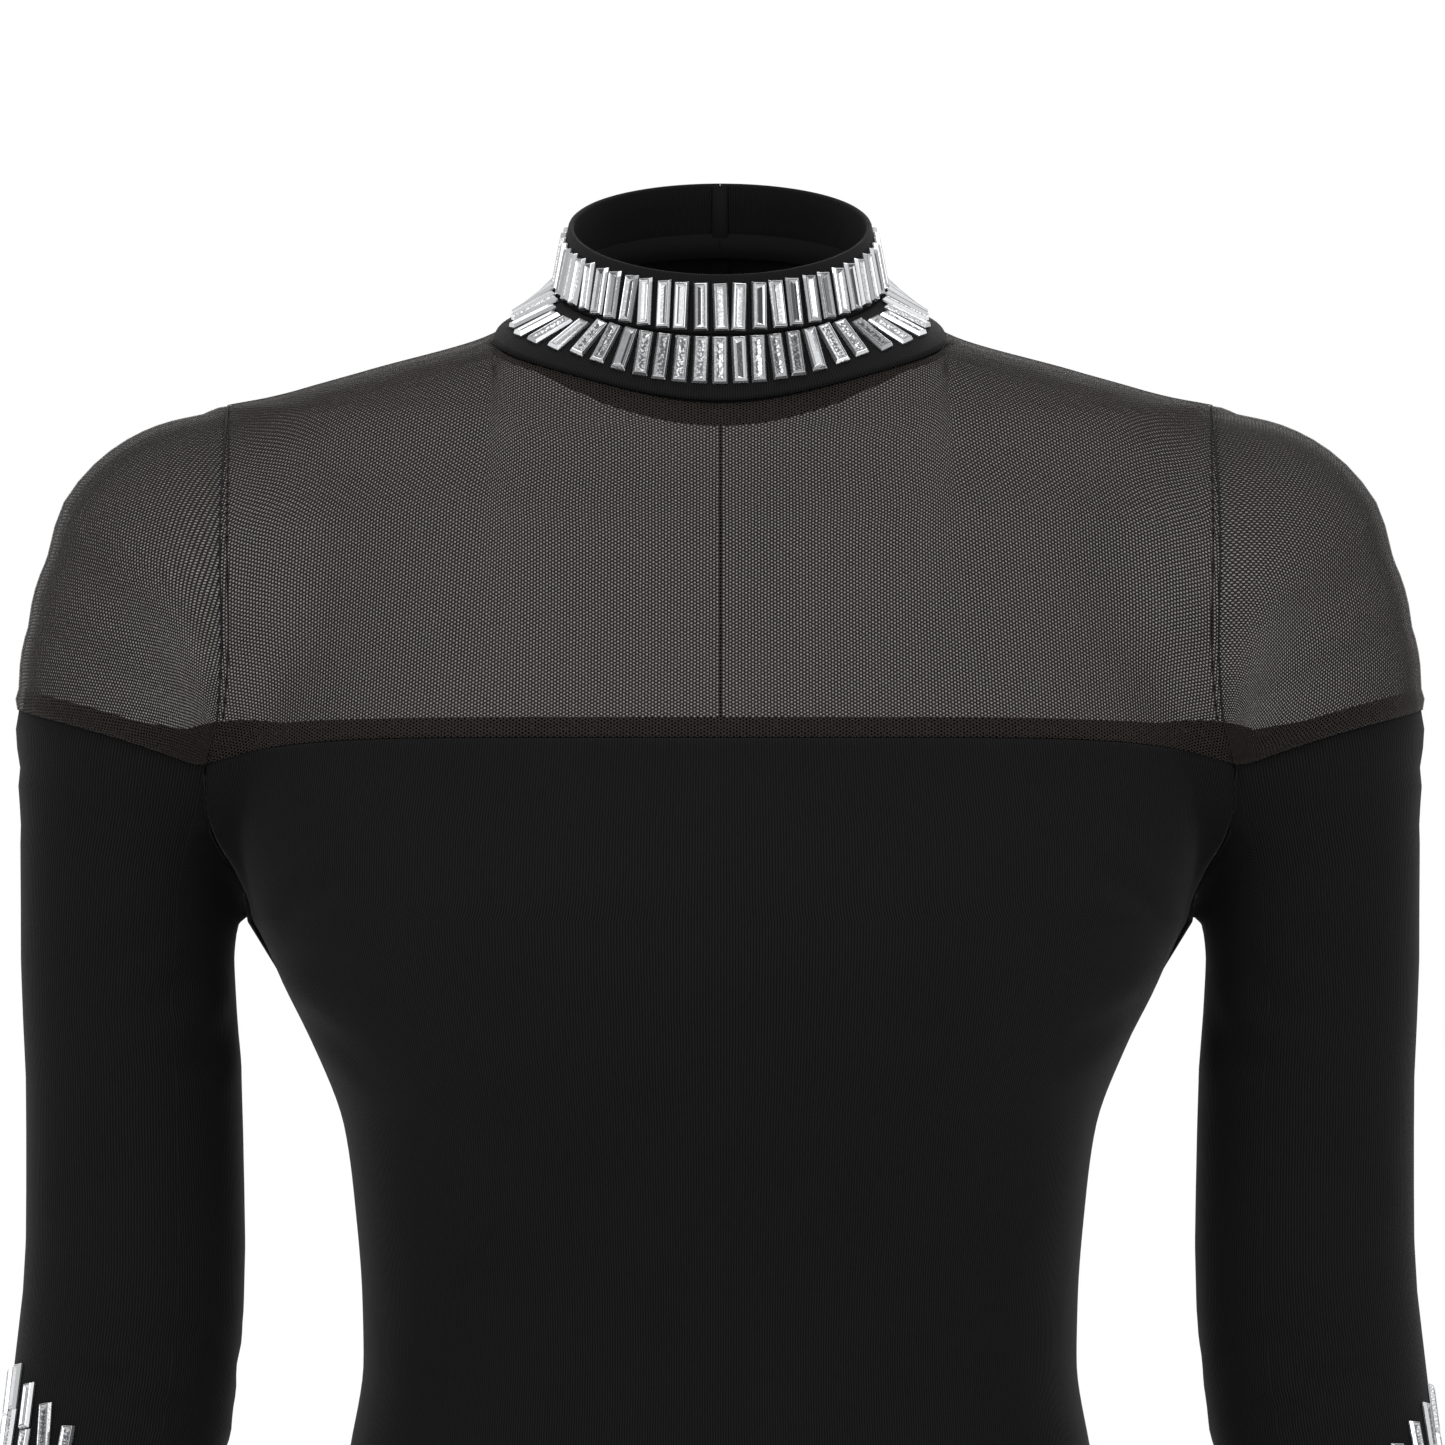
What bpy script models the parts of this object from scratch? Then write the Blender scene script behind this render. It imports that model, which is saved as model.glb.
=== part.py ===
"""A long sleeve dress in its worn, hollow form: net yoke, stone-set stand collar, jersey body and sleeves.

Metres, +Z up. The front faces -Y. The origin is the middle of the neck, level with its sides.
Each cloth piece is a wall lofted on one general figure, so that neighbours meet along shared seam lines.
"""

import math

import bmesh
import bpy
import numpy as np
from mathutils import Matrix

# Cloth
JERSEY_WALL = 0.0014
NET_WALL = 0.0011
BAND_WALL = 0.0020
SEAM = 0.00017

# Torso sections: height, half width, depth in front and behind of the side line, and fullness of the section
SIDE_Y = 0.004
TORSO = (
    (0.030, 0.052, 0.054, 0.058, 2.0),
    (0.012, 0.058, 0.056, 0.063, 2.0),
    (0.000, 0.0755, 0.057, 0.065, 2.0),
    (-0.012, 0.1166, 0.058, 0.068, 2.0),
    (-0.021, 0.1468, 0.060, 0.071, 2.0),
    (-0.026, 0.1575, 0.062, 0.073, 2.1),
    (-0.040, 0.1660, 0.067, 0.078, 2.2),
    (-0.060, 0.1670, 0.075, 0.083, 2.3),
    (-0.100, 0.1670, 0.085, 0.090, 2.4),
    (-0.133, 0.1660, 0.093, 0.092, 2.4),
    (-0.160, 0.1620, 0.103, 0.092, 2.4),
    (-0.190, 0.1540, 0.114, 0.091, 2.4),
    (-0.215, 0.1440, 0.119, 0.090, 2.3),
    (-0.234, 0.1345, 0.118, 0.088, 2.3),
    (-0.262, 0.1240, 0.110, 0.084, 2.2),
    (-0.285, 0.1208, 0.101, 0.080, 2.2),
    (-0.318, 0.1182, 0.093, 0.075, 2.1),
    (-0.338, 0.1178, 0.091, 0.074, 2.1),
    (-0.366, 0.1220, 0.092, 0.078, 2.1),
    (-0.400, 0.1290, 0.094, 0.088, 2.1),
    (-0.450, 0.1450, 0.099, 0.102, 2.1),
    (-0.500, 0.1610, 0.103, 0.112, 2.1),
    (-0.545, 0.1680, 0.104, 0.114, 2.1),
    (-0.620, 0.1670, 0.104, 0.109, 2.1),
    (-0.710, 0.1620, 0.102, 0.100, 2.1),
    (-0.890, 0.1490, 0.094, 0.088, 2.1),
)

# Arm: distance along it, middle of the section, and its radius
ARM = (
    (0.000, 0.1660, 0.004, -0.0856, 0.0590),
    (0.045, 0.1824, 0.004, -0.120, 0.0498),
    (0.090, 0.1957, 0.004, -0.165, 0.0354),
    (0.130, 0.1957, 0.0045, -0.205, 0.0352),
    (0.175, 0.1935, 0.005, -0.250, 0.0357),
    (0.229, 0.1930, 0.004, -0.304, 0.0363),
    (0.262, 0.1956, 0.003, -0.337, 0.0368),
    (0.350, 0.2080, -0.022, -0.421, 0.0350),
    (0.509, 0.2290, -0.064, -0.573, 0.0280),
    (0.545, 0.2337, -0.0733, -0.6075, 0.0265),
)
ARM_STEPS = 30
BLEND = 0.014
SOFT_BLEND = 0.050
START = 0.008

# Neck and collar: heights of its edges at the front, side and back, and their radii
NECK_Y = 0.002
NECKLINE = (-0.0235, 0.0028, 0.0080)
GROOVE = (-0.0010, 0.0150, 0.0300)
COLLAR_TOP = (0.0190, 0.0360, 0.0510)
GROOVE_RADIUS = 0.0540
TOP_RADIUS = 0.0500
RIM_RISE = 0.0010
RIM_LIFT = 0.0007
SLIT = 0.0004

# Baguette stones
STONE_LENGTH = 0.0162
STONE_WIDTH = 0.0048
STONE_HEIGHT = 0.0020
STONE_BEVEL = 0.0009
STONE_ROOM = 0.0004
UPPER_STONES = 52
LOWER_STONES = 56
UPPER_MARGIN = 0.0006
LOWER_MARGIN = 0.0070

# Armhole: height and distance from the middle
ARMHOLE = (
    (-0.230, 0.1500),
    (-0.200, 0.1546),
    (-0.190, 0.1554),
    (-0.178, 0.1600),
    (-0.165, 0.1670),
    (-0.154, 0.1693),
    (-0.142, 0.1690),
    (-0.125, 0.1648),
    (-0.100, 0.1635),
    (-0.070, 0.1640),
    (-0.020, 0.1622),
)
ARMHOLE_MIDDLE = (SIDE_Y, -0.108)
JUNCTION_Z = -0.142
NET_SEAM_Z = -0.133
SLEEVE_SEAM_Z = -0.124

# Rows of the jersey panels below the junction, and rings of the sleeve down the arm
ARMHOLE_CELLS = 4
BODY_ROWS = (
    -0.213, -0.232, -0.256, -0.288, -0.318, -0.338, -0.362, -0.398,
    -0.445, -0.495, -0.545, -0.630, -0.730, -0.890,
)
PANEL_CELLS = 26
SHOULDER_CELLS = 6
YOKE_CELLS = 7
CAP_ROWS = 7
CAP_TRIM = 0.0025
SLEEVE_OUTER_CELLS = 2 * YOKE_CELLS
SLEEVE_UNDER_CELLS = 2 * ARMHOLE_CELLS
UPPER_RINGS = (0.148, 0.176, 0.204, 0.232, 0.254)
FOREARM_START = 0.272
CUFF = 0.508
RING_STEP = 0.00874
COARSE = 5
STONE_COLUMNS = 3
STONE_TURN = math.radians(5)

# Zip slider, its staple and the pull tab, at the top of the centre back seam
SLIDER = (0.0050, 0.0018, 0.0085)
SLIDER_GAP = 0.0003
SLIDER_DROP = 0.0064
SLIDER_EDGE = 0.0004
STAPLE_WIDTH = 0.0011
STAPLE_BAR = 0.0010
STAPLE_ROOM = (0.0036, 0.0017)
SINK = 0.00002
PULL = (0.0052, 0.0010, 0.0190)
PULL_HOLE = (0.0026, 0.0042)
PULL_TIP_GAP = 0.0022


def curve(rows, column, x):
    """Reads one column of a table at x, smoothly and with no overshoot. The first column must rise."""
    table = np.array(sorted(rows), float)
    xs, ys = table[:, 0], table[:, column]
    step = np.diff(xs)
    slope = np.diff(ys) / step
    before, after = slope[:-1], slope[1:]
    total = before + after
    tangent = np.zeros(len(xs))
    rising = before * after > 0
    tangent[1:-1][rising] = 2 * before[rising] * after[rising] / total[rising]
    tangent[0], tangent[-1] = slope[0], slope[-1]
    i = np.clip(np.searchsorted(xs, x) - 1, 0, len(xs) - 2)
    t = np.clip((x - xs[i]) / step[i], 0, 1)
    start = ys[i] * (1 + 2 * t) * (1 - t) ** 2 + tangent[i] * step[i] * t * (1 - t) ** 2
    end = ys[i + 1] * t * t * (3 - 2 * t) - tangent[i + 1] * step[i] * t * t * (1 - t)
    return start + end


def arm_point(along):
    """Middle and radius of the arm at a distance along it."""
    along = np.atleast_1d(along)
    return np.stack([curve(ARM, column, along) for column in (1, 2, 3, 4)], axis=1)


ARM_CHAIN = arm_point(np.linspace(0, ARM[-1][0], ARM_STEPS))
AXES = np.eye(3)


def torso_reach(p):
    """Distance from the torso's surface, measured level and away from its axis."""
    x, y, z = p.T
    y = y - SIDE_Y
    half = curve(TORSO, 1, z)
    depth = np.where(y < 0, curve(TORSO, 2, z), curve(TORSO, 3, z))
    power = curve(TORSO, 4, z)
    ring = (np.abs(x / half) ** power + np.abs(y / depth) ** power) ** (1 / power) + 1e-9
    return np.hypot(x, y) * (1 - 1 / ring)


def slope_of(field, p, step=2e-4):
    sides = [(field(p + step * axis) - field(p - step * axis)) / (2 * step) for axis in AXES]
    return np.stack(sides, axis=1)


def torso(p):
    return torso_reach(p) / (np.linalg.norm(slope_of(torso_reach, p), axis=1) + 1e-9)


def arms(p):
    """Distance from a chain of balls of changing radius, the same on both sides."""
    q = np.column_stack([np.abs(p[:, 0]), p[:, 1:]])
    start, end = ARM_CHAIN[:-1], ARM_CHAIN[1:]
    along = end[:, :3] - start[:, :3]
    away = q[:, None] - start[None, :, :3]
    t = np.clip((away * along).sum(2) / (along * along).sum(1), 0, 1)
    radius = start[:, 3] + t * (end[:, 3] - start[:, 3])
    return (np.linalg.norm(away - t[:, :, None] * along, axis=2) - radius).min(1)


def figure(p, blend=BLEND):
    """Torso and arms in one, with a soft fold where they meet."""
    body, arm = torso(p), arms(p)
    near = np.maximum(blend - np.abs(body - arm), 0) / blend
    return np.minimum(body, arm) - near * near * blend / 4


def soft_figure(p):
    return figure(p, SOFT_BLEND)


def settled(points, rounds=4):
    """Moves points the shortest way onto the figure."""
    p = points.reshape(-1, 3).copy()
    for _ in range(rounds):
        slope = slope_of(figure, p)
        move = (figure(p) / ((slope * slope).sum(1) + 1e-9))[:, None] * slope
        length = np.linalg.norm(move, axis=1, keepdims=True)
        p -= move * np.minimum(1, 0.01 / (length + 1e-12))
    return p.reshape(points.shape)


def outward(points):
    """The way out of the wall. It turns slowly through the fold at the armhole, so that walls don't cross."""
    slope = slope_of(soft_figure, points.reshape(-1, 3))
    slope /= np.linalg.norm(slope, axis=1, keepdims=True)
    return slope.reshape(points.shape)


def first_crossing(path, count, far, steps=60):
    """Follows each path out of the figure and gives the points where it leaves the surface."""
    reach = np.linspace(START, far, steps)
    inside = np.stack([figure(path(np.full(count, t))) for t in reach], axis=1) < 0
    leave = np.argmax(~inside, axis=1)
    low, high = reach[np.maximum(leave - 1, 0)], reach[leave]
    for _ in range(18):
        middle = (low + high) / 2
        within = figure(path(middle)) < 0
        low, high = np.where(within, middle, low), np.where(within, high, middle)
    return path((low + high) / 2)


def even(points, count):
    """Reads a line again at count points, evenly spaced along it."""
    length = np.concatenate([[0], np.cumsum(np.linalg.norm(np.diff(points, axis=0), axis=1))])
    at = np.linspace(0, length[-1], count)
    return np.stack([np.interp(at, length, points[:, k]) for k in range(3)], axis=1)


def mirrored(points):
    return points * np.array([-1.0, 1.0, 1.0])


def around_neck(levels, angle):
    """Height of a collar edge at an angle from the front, through its front, side and back heights."""
    front, side, back = levels
    swing = (front - back) / 2
    double = ((front + back) / 2 - side) / 2
    return (front + back) / 2 - double + swing * np.cos(angle) + double * np.cos(2 * angle)


def neck_way(angle):
    return np.stack([np.sin(angle), -np.cos(angle), np.zeros_like(angle)], axis=1)


def neckline(angle):
    """Where the collar meets the yoke."""
    middle = np.stack([0 * angle, 0 * angle + NECK_Y, around_neck(NECKLINE, angle)], axis=1)
    way = neck_way(angle)
    return first_crossing(lambda t: middle + t[:, None] * way, len(angle), 0.12)


def neck_angles():
    """The angles of the yoke's points along the neckline: its front half, then its back half."""
    side = math.pi / 2 + math.atan((SIDE_Y - NECK_Y) / 0.07)
    front = np.linspace(side, -side, PANEL_CELLS - 2 * SHOULDER_CELLS + 1)
    back = np.linspace(side, math.pi, PANEL_CELLS // 2 - SHOULDER_CELLS + 1)
    return front, back


def armhole_loop(count=241):
    """The armhole from the armpit, up the front, over the shoulder and down the back."""
    turn = np.radians(-90 - np.linspace(0, 360, count))
    y0, z0 = ARMHOLE_MIDDLE

    def path(t):
        z = z0 + t * np.sin(turn)
        return np.stack([curve(ARMHOLE, 1, z), y0 + t * np.cos(turn), z], axis=1)

    return first_crossing(path, count, 0.13, 120)


def seam_height(x, half, middle, end):
    """The net seam is level and drops near the armholes."""
    return middle + (end - middle) * np.minimum(np.abs(x / half), 1) ** 7


def body_row(end, middle_z, back, count):
    """One row of a torso panel, from its end on the side to the same point on the other side."""
    half, y_end = end[0], end[1] - SIDE_Y
    first = math.atan2(-y_end, half) if not back else math.atan2(y_end, half)
    turn = np.linspace(max(first, 0), math.pi - max(first, 0), 81)[1:-1]
    way = 1 if back else -1

    def path(t):
        x = t * np.cos(turn)
        z = seam_height(x, half, middle_z, end[2])
        return np.stack([x, SIDE_Y + way * t * np.sin(turn), z], axis=1)

    between = first_crossing(path, len(turn), 0.19)
    return even(np.vstack([end, between, mirrored(end)]), count)


def coons(top, bottom, left, right):
    """Grid between four edges that share their corners."""
    v = np.linspace(0, 1, len(left))[:, None, None]
    u = np.linspace(0, 1, len(top))[None, :, None]
    across = (1 - v) * top[None] + v * bottom[None]
    down = (1 - u) * left[:, None] + u * right[:, None]
    corners = (1 - u) * ((1 - v) * top[0] + v * bottom[0]) + u * ((1 - v) * top[-1] + v * bottom[-1])
    return across + down - corners


def eased(grid, rounds=16):
    """Evens out the inside of a grid and keeps it on the figure. Its edges stay."""
    grid = grid.copy()
    for turn in range(rounds):
        around = grid[:-2, 1:-1] + grid[2:, 1:-1] + grid[1:-1, :-2] + grid[1:-1, 2:]
        grid[1:-1, 1:-1] = settled(around / 4, 1)
    grid[1:-1, 1:-1] = settled(grid[1:-1, 1:-1], 4)
    return grid


def unit(vectors):
    return vectors / (np.linalg.norm(vectors, axis=-1, keepdims=True) + 1e-12)


def step_in(edge, beside, line=None):
    """Half a seam's gap, square to the seam line and towards the points beside it."""
    line = unit(np.gradient(edge, axis=0)) if line is None else line
    way = beside - edge
    way = way - (way * line).sum(1)[:, None] * line
    return SEAM * unit(way)


def drawn_in(grid, top=True, bottom=True, left=True, right=True):
    """Moves the named edges of a grid back from their seam lines."""
    grid = grid.copy()
    if top:
        grid[0] += step_in(grid[0], grid[1])
    if bottom:
        grid[-1] += step_in(grid[-1], grid[-2])
    if left:
        grid[:, 0] += step_in(grid[:, 0], grid[:, 1])
    if right:
        grid[:, -1] += step_in(grid[:, -1], grid[:, -2])
    return grid


def material(name, colour, roughness, metallic=0.0):
    made = bpy.data.materials.new(name)
    made.use_nodes = True
    shader = made.node_tree.nodes["Principled BSDF"]
    shader.inputs["Base Color"].default_value = (*colour, 1.0)
    shader.inputs["Roughness"].default_value = roughness
    shader.inputs["Metallic"].default_value = metallic
    return made


def finish(bm, name, look, collection):
    """Makes the object of one closed wall, with its faces pointing out."""
    bmesh.ops.recalc_face_normals(bm, faces=bm.faces)
    mesh = bpy.data.meshes.new(name)
    bm.to_mesh(mesh)
    bm.free()
    mesh.shade_smooth()
    mesh.set_sharp_from_angle(angle=math.radians(35))
    mesh.materials.append(look)
    made = bpy.data.objects.new(name, mesh)
    collection.objects.link(made)
    return made


def vertices(bm, grid):
    return [[bm.verts.new(point) for point in row] for row in grid]


def rim_cell(bm, outer, inner):
    """One cell of a wall's edge, split from the end that lies higher, so that neighbours split alike."""
    rank = [vert.co.z + 0.37 * abs(vert.co.x) + 0.11 * vert.co.y for vert in outer]
    (a, b), (c, d) = (outer, inner) if rank[0] > rank[1] else (outer[::-1], inner[::-1])
    bm.faces.new((a, b, d))
    bm.faces.new((a, d, c))


def wall(name, outer, normals, thickness, look, collection):
    """A closed wall between a grid and the same grid moved inwards."""
    bm = bmesh.new()
    out, inner = vertices(bm, outer), vertices(bm, outer - thickness * normals)
    rows, columns = len(out), len(out[0])
    for skin in (out, inner):
        for i in range(rows - 1):
            for j in range(columns - 1):
                bm.faces.new((skin[i][j], skin[i][j + 1], skin[i + 1][j + 1], skin[i + 1][j]))
    for i in range(rows - 1):
        for j in (0, columns - 1):
            rim_cell(bm, (out[i][j], out[i + 1][j]), (inner[i][j], inner[i + 1][j]))
    for j in range(columns - 1):
        for i in (0, rows - 1):
            rim_cell(bm, (out[i][j], out[i][j + 1]), (inner[i][j], inner[i][j + 1]))
    return finish(bm, name, look, collection)


def panel(name, grid, thickness, look, collection, **edges):
    return wall(name, drawn_in(grid, **edges), outward(grid), thickness, look, collection)


def stone(bm, sides, corners):
    """A bevelled baguette raised from one cell. sides are its four edges in turn, corners its frame."""
    low, high = (corners[0] + corners[1]) / 2, (corners[2] + corners[3]) / 2
    narrow = min(math.dist(corners[0], corners[1]), math.dist(corners[2], corners[3]))
    centre = (low + high) / 2
    along = unit((corners[2] + corners[3] - corners[0] - corners[1]) / 2)
    across = unit((corners[1] + corners[2] - corners[0] - corners[3]) / 2)
    lean = abs(across @ along)
    width = min(STONE_WIDTH, narrow * math.sqrt(1 - lean * lean) - 2 * STONE_ROOM)
    length = min(STONE_LENGTH, math.dist(low, high) - 2 * STONE_ROOM - lean * width)
    up = unit(np.cross(across, along))
    across = np.cross(along, up)
    signs = ((-1, -1), (1, -1), (1, 1), (-1, 1))
    half = np.array([width, length]) / 2
    rings = []
    for size, height in ((half, 0.0), (half - STONE_BEVEL, STONE_HEIGHT)):
        ring = [centre + s * size[0] * across + t * size[1] * along + height * up for s, t in signs]
        rings.append([bm.verts.new(point) for point in ring])
    base, top = rings
    for k, side in enumerate(sides):
        bm.faces.new((*side, base[(k + 1) % 4], base[k]))
        bm.faces.new((base[k], base[(k + 1) % 4], top[(k + 1) % 4], top[k]))
    bm.faces.new(top)


def collar_band(name, low, high, count, margin, look, collection):
    """A band round the neck, open at the back, with one stone in each cell. low and high give its edges.

    margin is the most plain cloth that is left under the stones.
    """
    turn = math.pi - SLIT / GROOVE_RADIUS
    angle = np.linspace(-turn, turn, count + 3)
    bottom, top = low(angle), high(angle)
    slant = unit(top - bottom)
    reach = np.linalg.norm(top - bottom, axis=1)[:, None]
    frame = np.minimum(STONE_LENGTH + 2 * STONE_ROOM, reach - 3 * STONE_ROOM)
    start = np.minimum(margin, reach - frame - STONE_ROOM) * slant
    stop = start + frame * slant
    rows = [bottom, bottom + start, bottom + stop, top]
    round_way = unit(np.gradient(bottom, axis=0))
    normal = unit(np.cross(round_way, slant))
    bm = bmesh.new()
    out = vertices(bm, rows)
    inner = vertices(bm, [bottom - BAND_WALL * normal, top - BAND_WALL * normal])
    for j in range(count + 2):
        bm.faces.new((out[0][j], out[0][j + 1], out[1][j + 1], out[1][j]))
        bm.faces.new((out[2][j], out[2][j + 1], out[3][j + 1], out[3][j]))
        bm.faces.new((inner[0][j], inner[0][j + 1], inner[1][j + 1], inner[1][j]))
        bm.faces.new((out[0][j], out[0][j + 1], inner[0][j + 1], inner[0][j]))
        bm.faces.new((out[3][j], out[3][j + 1], inner[1][j + 1], inner[1][j]))
        cell = (out[1][j], out[1][j + 1], out[2][j + 1], out[2][j])
        if j in (0, count + 1):
            bm.faces.new(cell)
            continue
        sides = [(cell[k], cell[(k + 1) % 4]) for k in range(4)]
        stone(bm, sides, [rows[1][j], rows[1][j + 1], rows[2][j + 1], rows[2][j]])
    for j in (0, count + 2):
        bm.faces.new((out[0][j], out[1][j], out[2][j], out[3][j], inner[1][j], inner[0][j]))
    return finish(bm, name, look, collection)


def groove_ring(offset):
    """The line between the two tiers, moved along the neck by offset."""

    def ring(angle):
        points = GROOVE_RADIUS * neck_way(angle)
        points[:, 1] += NECK_Y
        points[:, 2] = around_neck(GROOVE, angle) + offset
        return points

    return ring


def top_ring(angle):
    points = TOP_RADIUS * neck_way(angle)
    points[:, 1] += NECK_Y
    points[:, 2] = around_neck(COLLAR_TOP, angle)
    return points


def rim_ring(angle):
    """The lower edge of the flared tier, which stands just proud of the net."""
    front, back = neck_angles()
    known = np.concatenate([-back[:0:-1], front[::-1], back[1:]])
    line = neckline(known)
    line = line + RIM_RISE * outward(line)
    line[:, 2] += RIM_LIFT
    return np.stack([np.interp(angle, known, line[:, k]) for k in range(3)], axis=1)


def split_armhole():
    """The armhole's parts, each from its top down: front and back of the net, and of the jersey."""
    loop = armhole_loop()
    top = int(np.argmax(loop[:, 2]))
    front = int(np.argmin(np.abs(loop[:top, 2] - JUNCTION_Z)))
    back = top + int(np.argmin(np.abs(loop[top:, 2] - JUNCTION_Z)))
    return {
        "front_low": even(loop[front::-1], ARMHOLE_CELLS + 1),
        "front_high": even(loop[top : front - 1 : -1], YOKE_CELLS + 1),
        "back_high": even(loop[top : back + 1], YOKE_CELLS + 1),
        "back_low": even(loop[back:], ARMHOLE_CELLS + 1),
    }


def shoulder_seam(top):
    """From the armhole's top to the side of the neck."""
    neck = neckline(neck_angles()[0][:1])[0]
    x = np.linspace(top[0], neck[0], 25)[1:-1]
    y = np.linspace(top[1], neck[1], 25)[1:-1]
    line = first_crossing(lambda t: np.stack([x, y, -0.09 + t], axis=1), 23, 0.12)
    return np.vstack([top, line, neck])


def yoke_grids(parts, front_edge, back_edge):
    """Front yoke across the whole chest, and one half of the back yoke."""
    seam = even(shoulder_seam(parts["front_high"][0]), SHOULDER_CELLS + 1)
    front_neck, back_neck = (neckline(angle) for angle in neck_angles())
    top = np.vstack([seam[:-1], front_neck, mirrored(seam[-2::-1])])
    right = parts["front_high"]
    front = coons(top, front_edge, right, mirrored(right))
    top = np.vstack([seam[:-1], back_neck])
    z = np.linspace(top[-1][2], back_edge[-1][2], YOKE_CELLS + 1)
    middle = first_crossing(lambda t: np.stack([0 * z, SIDE_Y + t, z], axis=1), len(z), 0.13)
    middle[0], middle[-1] = top[-1], back_edge[-1]
    back = coons(top, back_edge, parts["back_high"], middle)
    return eased(front), eased(back)


def jersey_grids(parts):
    """Front jersey panel, and one half of the back."""
    grids = []
    for back, low in ((False, parts["front_low"]), (True, parts["back_low"])):
        side_z = np.array(BODY_ROWS)
        side = first_crossing(
            lambda t: np.stack([t, 0 * t + SIDE_Y, side_z], axis=1), len(side_z), 0.2
        )
        rows = []
        for k, end in enumerate([*low, *side]):
            lift = (NET_SEAM_Z - JUNCTION_Z) * max(0, 1 - k / ARMHOLE_CELLS)
            rows.append(body_row(end, end[2] + lift, back, PANEL_CELLS + 1))
        grids.append(np.array(rows))
    front, whole_back = grids
    half = whole_back[:, : PANEL_CELLS // 2 + 1].copy()
    half[:, -1, 0] = 0
    return front, half


def sleeve_seam(parts):
    """Where the net cap meets the jersey sleeve, from the front junction round the arm to the back."""
    front, back = parts["front_high"][-1], parts["back_high"][-1]
    reach = math.radians(112)
    turn = np.linspace(reach, -reach, 61)
    z = SLEEVE_SEAM_Z + (JUNCTION_Z - SLEEVE_SEAM_Z) * (np.abs(turn) / reach) ** 1.7
    middle = arm_point(np.interp(-z, -np.array(ARM)[:, 3], np.array(ARM)[:, 0]))[:, :2]

    def path(t):
        x = middle[:, 0] + t * np.cos(turn)
        return np.stack([x, middle[:, 1] - t * np.sin(turn), z], axis=1)

    line = np.vstack([front, first_crossing(path, 61, 0.07), back])
    return even(line, SLEEVE_OUTER_CELLS + 1)


def arm_ring(along, shift=0.0):
    """A level ring round the arm: even steps, starting where the front junction's column runs down."""
    middle = arm_point(along)[0]
    ahead = arm_point(along + 0.004)[0][:3] - arm_point(along - 0.004)[0][:3]
    down = unit(ahead)
    side = unit(np.cross(down, np.array([0.0, 1.0, 0.0])))
    side = side * np.sign(side[0])
    fore = np.cross(side, down)
    fore = fore * np.sign(-fore[1])
    cells = SLEEVE_OUTER_CELLS + SLEEVE_UNDER_CELLS
    first = 2 * math.pi * SLEEVE_OUTER_CELLS / cells / 2
    turn = first - np.arange(cells) * 2 * math.pi / cells + shift
    way = np.cos(turn)[:, None] * side + np.sin(turn)[:, None] * fore
    return first_crossing(lambda t: middle[:3] + t[:, None] * way, cells, 0.06)


def sleeve_rings(parts):
    """Rings of the jersey sleeve, closed round the arm, from its seams to the cuff."""
    under = np.vstack([parts["back_low"], parts["front_low"][-2::-1]])
    top = np.vstack([sleeve_seam(parts)[:-1], under[:-1]])
    first = arm_ring(UPPER_RINGS[0])
    rings = np.array([top * (1 - v) + first * v for v in (0, 0.25, 0.5, 0.75, 1)])
    rings[1:-1] = settled(rings[1:-1])
    upper = []
    for k, along in enumerate(UPPER_RINGS[1:], 1):
        upper.append(arm_ring(along, STONE_TURN * k / len(UPPER_RINGS)))
    count = int(round((CUFF - FOREARM_START) / RING_STEP))
    forearm = []
    for k in range(count + 1):
        along = FOREARM_START + k * (CUFF - FOREARM_START) / count
        forearm.append(arm_ring(along, STONE_TURN))
    return rings, np.array(upper), np.array(forearm)


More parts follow.
